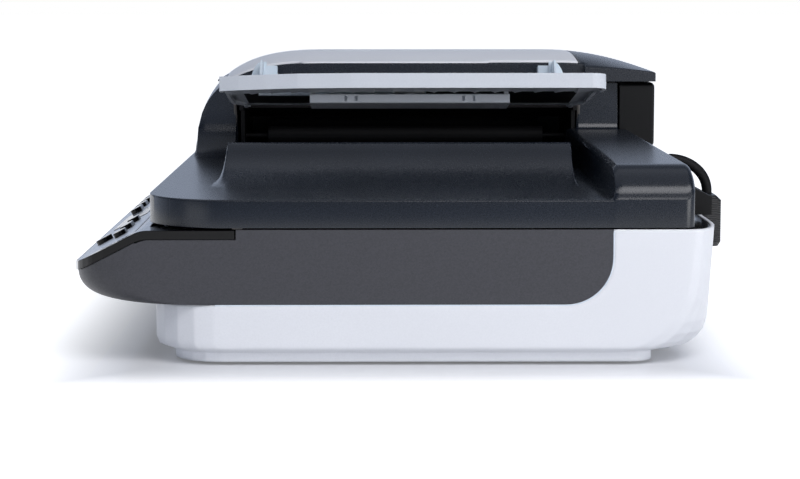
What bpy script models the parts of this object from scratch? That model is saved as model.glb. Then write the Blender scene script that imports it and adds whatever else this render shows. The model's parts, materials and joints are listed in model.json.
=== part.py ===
"""Desk scanner with a glass bed, a lifting lid and an automatic document feeder.

Frame: metres, +Z up. The control panel faces -Y, the lid hinges are at +Y, the
document feeder is over the -X end and its paper tray points to +X.
The origin is under the middle of the scanner, on the surface it stands on.
"""

import math

import bmesh
import bpy
import numpy as np
from mathutils import Matrix, Vector

MM = 0.001
HALF = 0.5

# Overall
BODY_LENGTH = 490.0 * MM
NOSE_REACH = 206.0 * MM
PLUG_REACH = 202.6 * MM
FIT = 0.3 * MM
RUNNING = 0.5 * MM
OVERRUN = 6.0 * MM

# Lower casing
FOOT_HEIGHT = 2.0 * MM
PLINTH_HEIGHT = 6.5 * MM
PLINTH_INSET = 6.0 * MM
PLINTH_REAR = 147.0 * MM
PLINTH_FRONT_CORNER = 30.0 * MM
PLINTH_REAR_CORNER = 15.0 * MM
CASE_FRONT = 157.0 * MM
CASE_REAR = 186.4 * MM
CASE_REAR_TAPER = 4.4 * MM
CASE_TOP = 83.0 * MM
CASE_WALL = 2.5 * MM
CASE_FRONT_CORNER = 38.0 * MM
CASE_REAR_CORNER = 40.0 * MM
CASE_FRONT_ROLL = 6.0 * MM
CASE_REAR_ROLL = 18.0 * MM
CASE_SIDE_ROLL = 3.0 * MM
CHEEK_REAR = 170.8 * MM
CHEEK_LEAN = 5.9 * MM
CHEEK_ROUND = 45.0 * MM

# Dark upper band
BAND_BOTTOM = 37.7 * MM
BAND_REAR = 121.0 * MM
BAND_REAR_ROUND = 28.0 * MM
BAND_WALL = 3.0 * MM
BAND_CORNER = 38.0 * MM
NOSE_HEIGHT = 60.0 * MM
NOSE_FLAT_DEPTH = 160.0 * MM
NOSE_POWER = 3.0

# Control panel
PANEL_SLOPE_REAR = 166.0 * MM
PANEL_SLOPE_TOP = 81.0 * MM
PANEL_TOP = 82.6 * MM
PANEL_BEND = 4.4 * MM
PANEL_THICK = 5.4 * MM
PANEL_ARM_REAR = 106.0 * MM
PANEL_ARM_WIDTH = 21.0 * MM
PANEL_BACK_EDGE = 150.0 * MM
PANEL_LEDGE = 4.5 * MM
FASCIA_THICK = 1.5 * MM
FASCIA_SIDE_MARGIN = 12.0 * MM
FASCIA_EDGE_MARGIN = 1.6 * MM
DISPLAY_CENTRE = 38.0 * MM
DISPLAY_WIDTH = 90.0 * MM
DISPLAY_RISE = 0.4 * MM
DISPLAY_DEPTH_share = 0.56
DISPLAY_PLACE_share = 0.5
POST_PLACE_share = 0.4
PANEL_BOARD_THICK = 1.6 * MM
PANEL_BOARD_DROP = 7.0 * MM
BUTTON_RISE = 3.0 * MM
BUTTON_SINK = 2.6 * MM
BUTTON_CLEARANCE = 0.4 * MM
ROUND_BUTTON = 11.0 * MM
BAR_BUTTON_DEPTH = 8.0 * MM
WIDE_BUTTON = 22.0 * MM
NARROW_BUTTON = 15.0 * MM
POWER_PLACE = 167.0 * MM
CANCEL_PLACE = 185.0 * MM
START_PLACE = 146.0 * MM
MENU_PLACE = 107.0 * MM
TASK_PLACE = -25.0 * MM
TASK_PITCH = 33.0 * MM
TASK_COUNT = 4
LOW_ROW_share = 0.34
HIGH_ROW_share = 0.64

# Glass bed
DECK_THICK = 4.8 * MM
DECK_TOP_GAP = 0.2 * MM
PAPER_WIDTH = 216.0 * MM
BED_LENGTH = 306.0 * MM
BED_FAR_INSET = 64.0 * MM
GLASS_THICK = 3.0 * MM
GLASS_LEDGE = 4.0 * MM
GLASS_MARGIN = 3.0 * MM
STRIP_WIDTH = 22.0 * MM
RULE_WIDTH = 14.0 * MM
RULE_THICK = 1.0 * MM

# Carriage and its drive
ROD_RADIUS = 4.0 * MM
ROD_HEIGHT = 36.0 * MM
ROD_POST = 12.0 * MM
ROD_END_GAP = 4.0 * MM
ROD_LENGTH = 400.0 * MM
CARRIAGE_LENGTH = 44.0 * MM
CARRIAGE_WIDTH = 244.0 * MM
CARRIAGE_BOTTOM = 44.0 * MM
CARRIAGE_TOP = 74.0 * MM
CARRIAGE_WALL = 2.4 * MM
LAMP_RADIUS = 3.0 * MM
MIRROR_THICK = 2.0 * MM
MIRROR_HEIGHT = 13.0 * MM
LENS_RADIUS = 7.0 * MM
LENS_LENGTH = 18.0 * MM
SENSOR_THICK = 1.6 * MM
SENSOR_HEIGHT = 16.0 * MM
SENSOR_WIDTH = 60.0 * MM
LENS_PLACE_share = 0.2
BELT_PLACE = 34.0 * MM
BELT_HEIGHT = 6.0 * MM
BELT_THICK = 1.2 * MM
PULLEY_RADIUS = 7.0 * MM
PULLEY_FLANGE = 9.5 * MM
PULLEY_FLANGE_THICK = 1.0 * MM
SHAFT_RADIUS = 1.6 * MM
SCAN_MOTOR_RADIUS = 19.0 * MM
SCAN_MOTOR_HEIGHT = 15.0 * MM

# Boards, sockets and feet
BOARD_LENGTH = 46.0 * MM
BOARD_DEPTH = 120.0 * MM
BOARD_THICK = 1.6 * MM
BOARD_STANDOFF = 5.0 * MM
BOARD_NEAR_INSET = 8.0 * MM
BOARD_REAR_INSET = 30.0 * MM
SOCKET_HEIGHT = 32.0 * MM
SOCKET_DEPTH = 14.0 * MM
SOCKET_WALL = 1.4 * MM
USB_PLACE = 60.0 * MM
USB_WIDTH = 12.0 * MM
USB_TALL = 11.0 * MM
JACK_PLACE = 20.0 * MM
JACK_WIDTH = 11.0 * MM
FOOT_RADIUS = 6.8 * MM
REAR_FOOT_PLACE = 173.0 * MM
REAR_FOOT_DEPTH = 158.0 * MM
FRONT_FOOT_PLACE = 218.0 * MM
FRONT_FOOT_DEPTH = 122.0 * MM

# Lid
LID_GAP = 1.0 * MM
LID_FRONT = 161.0 * MM
LID_REAR = 170.5 * MM
LID_EDGE_TOP = 98.0 * MM
LID_DECK = 101.0 * MM
LID_DECK_RUN = 70.0 * MM
LID_WALL = 2.5 * MM
LID_FRONT_CORNER = 50.0 * MM
LID_REAR_CORNER = 6.0 * MM
LID_EDGE_ROUND = 3.0 * MM
RAIL_FRONT = 121.0 * MM
RAIL_TOP = 120.5 * MM
RAIL_ROLL = 28.0 * MM
RAIL_REAR_ROUND = 5.0 * MM
STEEP = 1.0 * MM
RAMP_FRONT = 120.0 * MM
RAMP_REAR = 108.0 * MM
RAMP_CREST = 95.0 * MM
RAMP_TOP = 125.0 * MM
RAMP_FOOT = 165.0 * MM
RAMP_FLARE = 7.0 * MM
RAMP_BACK_DEPTH = 104.0 * MM
LIP_LENGTH = 4.0 * MM
LID_PLATE_THICK = 2.0 * MM
PAD_THICK = 5.0 * MM
PAD_MARGIN = 4.0 * MM

# Lid hinges
HINGE_PLACE = 177.0 * MM
HINGE_WIDTH = 58.0 * MM
HINGE_FRONT = 171.0 * MM
HINGE_REAR = 185.6 * MM
HINGE_BOTTOM = 88.0 * MM
HINGE_TOP = 105.0 * MM
HINGE_AXIS_HEIGHT = 95.0 * MM
HINGE_WALL = 3.0 * MM
HINGE_FORK = 26.0 * MM
HINGE_PIN_RADIUS = 2.5 * MM
LEG_FRONT = 171.6 * MM
LEG_THICK = 5.6 * MM
LEG_WIDTH = 20.0 * MM
LEG_DEPTH = 48.0 * MM
KNUCKLE_RADIUS = 5.5 * MM
SLEEVE_WALL = 1.5 * MM

# Feeder housing
FEEDER_LENGTH = 127.0 * MM
FEEDER_FRONT = 157.5 * MM
FEEDER_REAR = 162.0 * MM
BAY_FRONT = 127.0 * MM
BAY_REAR = 131.0 * MM
BAY_END_WALL = 5.0 * MM
PILLAR_FOOT = 33.0 * MM
FEEDER_SEAM = 155.0 * MM
SEAM_GAP = 1.4 * MM
END_WALL_TOP = 153.4 * MM
END_WALL_RUN = 14.0 * MM
CROWN_HEIGHT = 178.2 * MM
CROWN_PLACE = 65.0 * MM
CROWN_MOUTH = 170.2 * MM
SHOULDER_RUN = 100.5 * MM
SHOULDER_POWER = 2.8
END_POWER = 5.0
COVER_REAR = 189.4 * MM
COVER_REAR_TOP = 163.5 * MM
COVER_FALL_START = 110.0 * MM
COVER_EDGE_ROUND = 2.0 * MM
COVER_WALL = 2.4 * MM
COVER_STEP = 8.0 * MM
COVER_STEP_PLACE = 133.0 * MM
CAP_THICK = 2.4 * MM
CAP_FRONT = 136.0 * MM
CAP_REAR = 129.0 * MM
CAP_MOUTH_INSET = 2.0 * MM
CAP_END_INSET = 12.0 * MM
COVER_AXIS_INSET = 7.5 * MM
COVER_CORNER = 18.0 * MM
BARREL_REACH = 95.0 * MM
BARREL_PIN = 1.5 * MM
EAR_REACH = 1.2 * MM
EAR_THICK = 3.0 * MM
COVER_AXIS_HEIGHT = 160.0 * MM
BARREL_RADIUS = 3.2 * MM
SIDE_COVER_BOTTOM = 107.0 * MM
SIDE_COVER_WALL = 2.0 * MM
SIDE_COVER_ROUND = 3.0 * MM
SIDE_COVER_STEP = 3.0 * MM

# Feeder works
SIDE_PLATE_THICK = 3.0 * MM
SIDE_PLATE_GAP = 1.5 * MM
CHASSIS_INSET = 9.0 * MM
DRUM_RADIUS = 22.0 * MM
DRUM_INSET = 38.0 * MM
DRUM_HEIGHT = 106.0 * MM
DRUM_SLOT_MARGIN = 5.0 * MM
DRUM_SHAFT = 3.0 * MM
EXIT_RADIUS = 7.0 * MM
EXIT_SHAFT = 2.0 * MM
EXIT_INSET = 106.0 * MM
EXIT_HEIGHT = 114.0 * MM
PICK_RADIUS = 9.0 * MM
PICK_WIDTH = 46.0 * MM
PICK_INSET = 98.0 * MM
PICK_HEIGHT = 145.5 * MM
GUIDE_PLATE_THICK = 2.0 * MM
FEEDER_MOTOR_RADIUS = 15.0 * MM
FEEDER_MOTOR_LENGTH = 20.0 * MM
FEEDER_MOTOR_HEIGHT = 130.0 * MM

# Paper tray, in its own sloping frame
TRAY_PIVOT_GAP = 10.0 * MM
TRAY_PIVOT_HEIGHT = 140.0 * MM
TRAY_SLOPE_DEG = 9.0
TRAY_LENGTH = 185.0 * MM
TRAY_FRONT = 128.0 * MM
TRAY_REAR = 134.0 * MM
TRAY_ROOT_INSET = 8.0 * MM
TRAY_PLATE = 2.2 * MM
TRAY_RIM = 10.0 * MM
TRAY_RIM_WALL = 2.4 * MM
TRAY_SIDE_RIM = 4.5 * MM
TRAY_SIDE_START = 138.0 * MM
TRAY_SIDE_END = 158.0 * MM
TRAY_SWEEP = 20.0 * MM
TRAY_SWEEP_RUN = 90.0 * MM
TRAY_CORNER = 10.0 * MM
TRAY_RIB_PITCH = 13.9 * MM
TRAY_RIB_DEPTH = 4.0 * MM
TRAY_RIB_WIDTH = 1.2 * MM
TRAY_RIB_LENGTH = 36.0 * MM
TRAY_PIN_RADIUS = 2.5 * MM
TRAY_SLOT = 5.0 * MM
RACK_COVER_FRONT = 69.0 * MM
RACK_COVER_LENGTH = 40.0 * MM
RACK_COVER_NEAR = 45.0 * MM
RACK_COVER_DROP = 6.5 * MM
RACK_COVER_THICK = 6.4 * MM
RACK_COVER_SLOTS = 4
RACK_SLOT_WIDTH = 1.7 * MM
RACK_SLOT_TALL = 3.5 * MM
RACK_SLOT_PITCH = 7.4 * MM
RACK_SLOT_PLACE = 37.0 * MM
GUIDE_PLACE = 96.5 * MM
GUIDE_TRAVEL = 55.0 * MM
GUIDE_FOOT = 1.5 * MM
GUIDE_LENGTH = 58.0 * MM
GUIDE_ROOT = 20.0 * MM
GUIDE_BLADE = 1.6 * MM
GUIDE_TALL = 25.0 * MM
GUIDE_BLOCK = 9.5 * MM
GUIDE_GUSSET = 11.5 * MM
RACK_WIDTH = 5.0 * MM
RACK_THICK = 3.0 * MM
RACK_LENGTH = 118.0 * MM
PINION_RADIUS = 10.0 * MM
PINION_TEETH = 20
PINION_TOOTH = 1.6 * MM
PINION_AXLE = 2.5 * MM
PINION_BOSS = 5.0 * MM
TOOTH_FLAT_share = 0.3

# Lead from the base to the feeder
LEAD_RADIUS = 3.3 * MM
LEAD_PLACE = 115.0 * MM
LEAD_EXIT_HEIGHT = 115.5 * MM
LEAD_DROP_DEPTH = 195.8 * MM
LEAD_BEND_FALL = 21.0 * MM
LEAD_IN_PLUG = 18.0 * MM
PLUG_WIDTH = 42.0 * MM
PLUG_TOP = 93.0 * MM
PLUG_TALL = 33.0 * MM
PLUG_FRONT = 190.0 * MM
PLUG_BORE_GAP = 0.5 * MM
PLUG_CHAMFER = 3.0 * MM
ADF_SOCKET_TALL = 16.0 * MM
ADF_SOCKET_WIDTH = 36.0 * MM
ADF_SOCKET_PLACE_share = 0.1

# Steps of the round forms
CORNER_STEPS = 5
BUTTON_STEPS = 4
BUTTON_TURN_share = 0.98
ROLLER_STEPS = 18
PIN_STEPS = 12
ROLL_shares = (0.0, 0.12, 0.3, 0.6, 1.0)
CHEEK_shares = (0.7, 1.0)
FOOT_shares = (0.0, 0.15, 0.35, 0.6, 1.0)
SHOULDER_shares = (0.03, 0.08, 0.16, 0.3, 0.5, 0.75)
RAMP_BOW_share = 0.97

# Places that follow from the sizes above
NEAR = BODY_LENGTH * HALF
FAR = -NEAR
CASE_FLOOR = FOOT_HEIGHT + PLINTH_HEIGHT
CASE_FLOOR_TOP = CASE_FLOOR + CASE_WALL
LID_BOTTOM = CASE_TOP + LID_GAP
MOUTH = FAR + FEEDER_LENGTH
CENTRE_DEPTH = (BAY_REAR - BAY_FRONT) * HALF
SLOPE_RUN = NOSE_REACH - PANEL_SLOPE_REAR
SLOPE_RISE = PANEL_SLOPE_TOP - NOSE_HEIGHT
SLOPE_LENGTH = math.hypot(SLOPE_RUN, SLOPE_RISE)
SLOPE_ANGLE = math.atan2(SLOPE_RISE, SLOPE_RUN)
DECK_TOP = CASE_TOP - DECK_TOP_GAP
DECK_BOTTOM = DECK_TOP - DECK_THICK
GLASS_TOP = DECK_TOP
BED_FAR = FAR + BED_FAR_INSET
BED_NEAR = BED_FAR + BED_LENGTH
DRUM_X = FAR + DRUM_INSET
STRIP_FAR = DRUM_X - STRIP_WIDTH * HALF
STRIP_NEAR = DRUM_X + STRIP_WIDTH * HALF
PAPER_FRONT = CENTRE_DEPTH - PAPER_WIDTH * HALF
PAPER_REAR = CENTRE_DEPTH + PAPER_WIDTH * HALF
CARRIAGE_HOME = DRUM_X
TRAY_PIVOT_X = MOUTH + TRAY_PIVOT_GAP
LID_HINGE_Y = (HINGE_FRONT + HINGE_REAR) * HALF
COVER_AXIS_X = FAR + COVER_AXIS_INSET
COVER_BOTTOM = FEEDER_SEAM + SEAM_GAP


# Small tools

def clear_scene():
    """Removes what the opened file holds."""
    for item in list(bpy.data.objects):
        bpy.data.objects.remove(item, do_unlink=True)


def finish_of(name, colour, roughness, metallic=0.0):
    """One material with its own colour, roughness and metallic value."""
    made = bpy.data.materials.new(name)
    made.use_nodes = True
    shader = made.node_tree.nodes["Principled BSDF"]
    shader.inputs["Base Color"].default_value = (*colour, 1.0)
    shader.inputs["Roughness"].default_value = roughness
    shader.inputs["Metallic"].default_value = metallic
    made.diffuse_color = (*colour, 1.0)
    return made


def solid(name, corners, faces, finish, smooth_deg=35.0):
    """A closed body from its corners and faces, with every face pointing out."""
    mesh = bpy.data.meshes.new(name)
    mesh.from_pydata([tuple(c) for c in corners], [], [list(f) for f in faces])
    shape = bmesh.new()
    shape.from_mesh(mesh)
    bmesh.ops.remove_doubles(shape, verts=shape.verts, dist=0.00001)
    bmesh.ops.recalc_face_normals(shape, faces=shape.faces)
    shape.to_mesh(mesh)
    shape.free()
    mesh.shade_smooth()
    mesh.set_sharp_from_angle(angle=math.radians(smooth_deg))
    mesh.materials.append(finish)
    made = bpy.data.objects.new(name, mesh)
    bpy.context.scene.collection.objects.link(made)
    return made


def loft(name, rings, finish):
    """Joins rings of equal point counts and closes both ends."""
    count = len(rings[0])
    corners = [point for ring in rings for point in ring]
    faces = [list(range(count)), list(range(len(corners) - count, len(corners)))]
    for level in range(len(rings) - 1):
        start = level * count
        for i in range(count):
            j = (i + 1) % count
            faces.append([start + i, start + j, start + count + j, start + count + i])
    return solid(name, corners, faces, finish)


def extrude(name, outline, axis, start, end, finish):
    """Carries a flat outline along one axis."""
    place = {
        "x": lambda a, b, c: (c, a, b),
        "y": lambda a, b, c: (a, c, b),
        "z": lambda a, b, c: (a, b, c),
    }[axis]
    return loft(name, [[place(a, b, c) for a, b in outline] for c in (start, end)], finish)


def box(name, low, high, finish):
    """A block between two corners."""
    outline = [(low[0], low[1]), (high[0], low[1]), (high[0], high[1]), (low[0], high[1])]
    return extrude(name, outline, "z", low[2], high[2], finish)


def arc(centre, radius, start_deg, end_deg, steps):
    """Points along a circular arc, both ends included."""
    points = []
    for i in range(steps + 1):
        angle = math.radians(start_deg + (end_deg - start_deg) * i / steps)
        points.append((centre[0] + radius * math.cos(angle), centre[1] + radius * math.sin(angle)))
    return points


def rounded(x0, x1, y0, y1, low_round, high_round, steps=CORNER_STEPS):
    """A rectangle with one corner radius at its y0 side and another at its y1 side."""
    points = []
    points += arc((x0 + low_round, y0 + low_round), low_round, 180, 270, steps)
    points += arc((x1 - low_round, y0 + low_round), low_round, 270, 360, steps)
    points += arc((x1 - high_round, y1 - high_round), high_round, 0, 90, steps)
    points += arc((x0 + high_round, y1 - high_round), high_round, 90, 180, steps)
    return points


def at_height(outline, z):
    return [(x, y, z) for x, y in outline]


def turned(name, profile, centre, axis, finish, steps=ROLLER_STEPS):
    """A round piece: (radius, height) points turned about an axis through the centre."""
    place = {
        "x": lambda u, v, h: (h, u, v),
        "y": lambda u, v, h: (v, h, u),
        "z": lambda u, v, h: (u, v, h),
    }[axis]
    rings = []
    for radius, height in profile:
        ring = []
        for i in range(steps):
            angle = math.tau * i / steps
            u, v, h = place(radius * math.cos(angle), radius * math.sin(angle), height)
            ring.append((centre[0] + u, centre[1] + v, centre[2] + h))
        rings.append(ring)
    return loft(name, rings, finish)


def ring_body(name, bore, profile, centre, axis, finish, steps=ROLLER_STEPS):
    """A turned piece with a hole through it."""
    body = turned(name, profile, centre, axis, finish, steps)
    low, high = profile[0][1] - OVERRUN, profile[-1][1] + OVERRUN
    cut(body, turned("bore", [(bore, low), (bore, high)], centre, axis, finish, steps))
    return body


def combine(target, tool, operation):
    """Applies one exact Boolean and removes the tool."""
    step = target.modifiers.new(operation.lower(), "BOOLEAN")
    step.operation = operation
    step.solver = "EXACT"
    step.object = tool
    bpy.context.view_layer.update()
    result = bpy.data.meshes.new_from_object(target.evaluated_get(bpy.context.evaluated_depsgraph_get()))
    target.modifiers.clear()
    target.data = result
    result.name = target.name
    result.shade_smooth()
    result.set_sharp_from_angle(angle=math.radians(35.0))
    bpy.data.objects.remove(tool, do_unlink=True)
    return target


def cut(target, *tools):
    for tool in tools:
        combine(target, tool, "DIFFERENCE")
    return target


def join(target, *tools):
    for tool in tools:
        combine(target, tool, "UNION")
    return target


def about(piece, origin):
    """Moves a piece's origin to its joint's axis without moving the piece."""
    shift = Vector(origin)
    piece.data.transform(Matrix.Translation(-shift))
    piece.location = shift
    return piece


def ramp(values, start, end):
    """Rises from 0 at start to 1 at end."""
    return np.clip((values - start) / (end - start), 0.0, 1.0)


def ease(values):
    """Softens the two ends of a ramp."""
    return values * values * (3.0 - 2.0 * values)


def stops(*places):
    """Sorted grid lines without near doubles."""
    kept = []
    for place in sorted(places):
        if not kept or place - kept[-1] > FIT * HALF:
            kept.append(place)
    return np.array(kept)


def between(start, end, count):
    """Places that divide a stretch evenly, without its ends."""
    return [start + (end - start) * i / (count + 1) for i in range(1, count + 1)]


def round_corners(x, y, reach, front, rear, front_round, rear_round):
    """Bends a square grid so that its border has round corners in plan."""
    out_x, out_y = x.copy(), y.copy()
    for edge, radius, side in ((front, front_round, -1.0), (rear, rear_round, 1.0)):
        along = (np.abs(x) - (reach - radius)) / radius
        across = (y - (edge - side * radius)) * side / radius
        inside = (along > 0.0) & (across > 0.0)
        length = np.where(inside, np.hypot(along, across), 1.0)
        scale = np.where(inside, np.maximum(along, across) / length, 1.0)
        corner_x = np.sign(x) * (reach - radius + along * scale * radius)
        corner_y = edge - side * radius + side * across * scale * radius
        out_x = np.where(inside, corner_x, out_x)
        out_y = np.where(inside, corner_y, out_y)
    return out_x, out_y


def grid_shell(name, lines_x, lines_y, top, bottom, keep, warp, finish):
    """A shell between two height functions over a grid, with walls along every border.

    top and bottom give heights from the bent places and from the straight lines;
    keep says which cells exist by the straight places of their middles.
    """
    flat_x, flat_y = np.meshgrid(lines_x, lines_y, indexing="ij")
    bent_x, bent_y = warp(flat_x, flat_y)
    upper = top(bent_x, bent_y, flat_x, flat_y)
    lower = bottom(bent_x, bent_y, flat_x, flat_y)
    middle_x = (flat_x[1:, 1:] + flat_x[:-1, 1:]) * HALF
    middle_y = (flat_y[1:, 1:] + flat_y[1:, :-1]) * HALF
    present = keep(middle_x, middle_y)
    rows, columns = flat_x.shape
    corners = [*zip(bent_x.flat, bent_y.flat, upper.flat), *zip(bent_x.flat, bent_y.flat, lower.flat)]
    under = rows * columns
    used = {}

    def index(i, j, level):
        return used.setdefault(level * under + i * columns + j, len(used))

    faces = []
    for i in range(rows - 1):
        for j in range(columns - 1):
            if not present[i, j]:
                continue
            square = [(i, j), (i + 1, j), (i + 1, j + 1), (i, j + 1)]
            for half in ((0, 1, 2), (0, 2, 3)):
                faces.append([index(*square[k], 0) for k in half])
                faces.append([index(*square[k], 1) for k in reversed(half)])
            sides = [(i, j - 1), (i + 1, j), (i, j + 1), (i - 1, j)]
            for side, beside in enumerate(sides):
                outside = not (0 <= beside[0] < rows - 1 and 0 <= beside[1] < columns - 1)
                if outside or not present[beside]:
                    a, b = square[side], square[(side + 1) % 4]
                    faces.append([index(*b, 0), index(*a, 0), index(*a, 1), index(*b, 1)])
    placed = [corners[key] for key in used]
    return solid(name, placed, faces, finish, 30.0)


def whole(x, y):
    return np.ones_like(x, dtype=bool)


# Finishes

def make_finishes():
    return {
        "white": finish_of("casing_white_plastic", (0.80, 0.80, 0.79), 0.42),
        "dark": finish_of("lid_dark_plastic", (0.030, 0.036, 0.046), 0.38),
        "band": finish_of("band_grained_plastic", (0.045, 0.045, 0.048), 0.45),
        "gloss": finish_of("gloss_black_plastic", (0.008, 0.008, 0.010), 0.12),
        "silver": finish_of("silver_painted_plastic", (0.62, 0.63, 0.65), 0.32, 0.6),
        "grey": finish_of("tray_grey_plastic", (0.62, 0.63, 0.66), 0.40),
        "clear": finish_of("guide_pale_plastic", (0.66, 0.74, 0.80), 0.25),
        "black": finish_of("inner_black_plastic", (0.012, 0.012, 0.013), 0.5),
        "rubber": finish_of("black_rubber", (0.016, 0.016, 0.017), 0.75),
        "foam": finish_of("pad_white_foam", (0.82, 0.82, 0.80), 0.7),
        "glass": finish_of("bed_glass", (0.70, 0.78, 0.76), 0.05),
        "steel": finish_of("polished_steel", (0.55, 0.56, 0.58), 0.22, 1.0),
        "board": finish_of("green_board", (0.02, 0.12, 0.05), 0.5),
    }


# Base

def roll_inset(height, radius):
    """How far a rounded bottom edge stands in at a height above its start."""
    level = max(0.0, radius - height)
    return radius - math.sqrt(max(0.0, radius * radius - level * level))


def case_ring(z, inset):
    """The casing's plan outline at one height, set in by a wall."""
    rise = z - CASE_FLOOR
    front = -CASE_FRONT + roll_inset(rise, CASE_FRONT_ROLL) + inset
    lean = CASE_REAR_TAPER * (CASE_TOP - z) / (CASE_TOP - CASE_FLOOR)
    rear = CASE_REAR - lean - roll_inset(rise, CASE_REAR_ROLL) - inset
    side = NEAR - roll_inset(rise, CASE_SIDE_ROLL) - inset
    turn = CASE_FRONT_CORNER - inset
    outline = arc((-side + turn, front + turn), turn, 180, 270, CORNER_STEPS)
    outline += arc((side - turn, front + turn), turn, 270, 360, CORNER_STEPS)
    return at_height(outline + rear_corners(side, rear, cheek_rear(z)), z)


def cheek_rear(z):
    """Where the flat sides end towards the rear: straight above, round below."""
    lean = CHEEK_LEAN * (CASE_TOP - z) / (CASE_TOP - CASE_FLOOR)
    low = max(0.0, CHEEK_ROUND - (z - CASE_FLOOR))
    return CHEEK_REAR - lean - CHEEK_ROUND + math.sqrt(max(0.0, CHEEK_ROUND ** 2 - low ** 2))


def rear_corners(side, rear, start):
    """Quarter ellipses from where the flat sides end round to the rear wall."""
    centre = NEAR - CASE_REAR_CORNER
    points = []
    for i in range(CORNER_STEPS + 1):
        angle = math.radians(90) * i / CORNER_STEPS
        x = centre + (side - centre) * math.cos(angle)
        points.append((x, start + (rear - start) * math.sin(angle)))
    return points + [(-x, y) for x, y in points[::-1]]


def band_cutter(reach, name, finish):
    """The side profile that the dark band takes out of the white casing."""
    centre = (BAND_REAR - BAND_REAR_ROUND, BAND_BOTTOM + BAND_REAR_ROUND)
    outline = [(-NOSE_REACH - OVERRUN, CASE_TOP + OVERRUN), (-NOSE_REACH - OVERRUN, BAND_BOTTOM)]
    outline += arc(centre, BAND_REAR_ROUND, 270, 360, CORNER_STEPS)
    outline.append((BAND_REAR, CASE_TOP + OVERRUN))
    grown = [(y + FIT if y > 0.0 else y, z - FIT) for y, z in outline]
    return extrude(name, grown, "x", -reach, reach, finish)


def make_lower_casing(finish):
    plinth_side = NEAR - PLINTH_INSET
    plinth_front = -(CASE_FRONT - CASE_FRONT_ROLL - PLINTH_INSET)
    turns = (PLINTH_FRONT_CORNER, PLINTH_REAR_CORNER)
    plinth = rounded(-plinth_side, plinth_side, plinth_front, PLINTH_REAR, *turns)
    rings = [at_height(plinth, FOOT_HEIGHT), at_height(plinth, CASE_FLOOR)]
    heights = [CASE_FLOOR + CASE_REAR_ROLL * share for share in ROLL_shares]
    heights += [CASE_FLOOR + CHEEK_ROUND * share for share in CHEEK_shares]
    rings += [case_ring(z, 0.0) for z in heights + [CASE_TOP]]
    inner = [z for z in heights if z > CASE_FLOOR_TOP]
    rings += [case_ring(z, CASE_WALL) for z in [CASE_TOP] + inner[::-1] + [CASE_FLOOR_TOP]]
    casing = loft("lower_casing", rings, finish)
    cut(casing, band_cutter(NEAR + OVERRUN, "band_cut", finish))
    for place, width, tall in socket_places():
        low = (place - width * HALF - FIT, CASE_REAR - SOCKET_DEPTH, SOCKET_HEIGHT - tall * HALF - FIT)
        high = (place + width * HALF + FIT, CASE_REAR + OVERRUN, SOCKET_HEIGHT + tall * HALF + FIT)
        cut(casing, box("socket_cut", low, high, finish))
    low, high = adf_socket_box()
    grown_low = [low[0] - FIT, low[1] - FIT, low[2] - FIT]
    grown_high = [high[0] + FIT, high[1] + OVERRUN, high[2] + FIT]
    cut(casing, box("lead_cut", grown_low, grown_high, finish))
    return casing


def socket_places():
    """Place along X, width and height of the sockets in the rear wall."""
    return [(USB_PLACE, USB_WIDTH, USB_TALL), (JACK_PLACE, JACK_WIDTH, JACK_WIDTH)]


def rear_wall_at(z):
    """How far back the casing's rear face stands at one height."""
    return CASE_REAR - CASE_REAR_TAPER * (CASE_TOP - z) / (CASE_TOP - CASE_FLOOR)


def make_sockets(finish):
    """The USB and power sockets: square sleeves, closed inside and open to the rear."""
    made = []
    for name, (place, width, tall) in zip(("usb_port", "power_jack"), socket_places()):
        rear = rear_wall_at(SOCKET_HEIGHT)
        low = (place - width * HALF, rear - SOCKET_DEPTH, SOCKET_HEIGHT - tall * HALF)
        high = (place + width * HALF, rear, SOCKET_HEIGHT + tall * HALF)
        sleeve = box(name, low, high, finish)
        hollow_low = [low[0] + SOCKET_WALL, low[1] + SOCKET_WALL, low[2] + SOCKET_WALL]
        hollow_high = [high[0] - SOCKET_WALL, high[1] + OVERRUN, high[2] - SOCKET_WALL]
        made.append(cut(sleeve, box("hollow", hollow_low, hollow_high, finish)))
    return made


def nose_depth(z):
    """How far forward the dark band's nose reaches at one height."""
    fall = min(1.0, max(0.0, (NOSE_HEIGHT - z) / (NOSE_HEIGHT - BAND_BOTTOM)))
    reach = NOSE_REACH - FASCIA_THICK - NOSE_FLAT_DEPTH
    return NOSE_FLAT_DEPTH + reach * (1.0 - fall ** NOSE_POWER) ** (1.0 / NOSE_POWER)


def band_rear(z):
    """Where the dark band ends towards the rear at one height."""
    low = max(0.0, BAND_REAR_ROUND - (z - BAND_BOTTOM))
    return BAND_REAR - BAND_REAR_ROUND + math.sqrt(max(0.0, BAND_REAR_ROUND ** 2 - low ** 2))


def panel_line(y):
    """Height of the control panel's surface along its depth: a slope that bends into a flat."""
    rate = SLOPE_RISE / SLOPE_RUN
    slope = NOSE_HEIGHT + (y + NOSE_REACH) * rate
    short = np.clip(panel_corner() + PANEL_BEND - y, 0.0, PANEL_BEND * 2)
    bend = PANEL_TOP - rate * short * short / (PANEL_BEND * 4)
    return np.where(y < panel_corner() - PANEL_BEND, slope, bend)


def panel_corner():
    """Where the panel's slope and its flat would meet if the bend were sharp."""
    return -NOSE_REACH + (PANEL_TOP - NOSE_HEIGHT) * SLOPE_RUN / SLOPE_RISE


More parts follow.
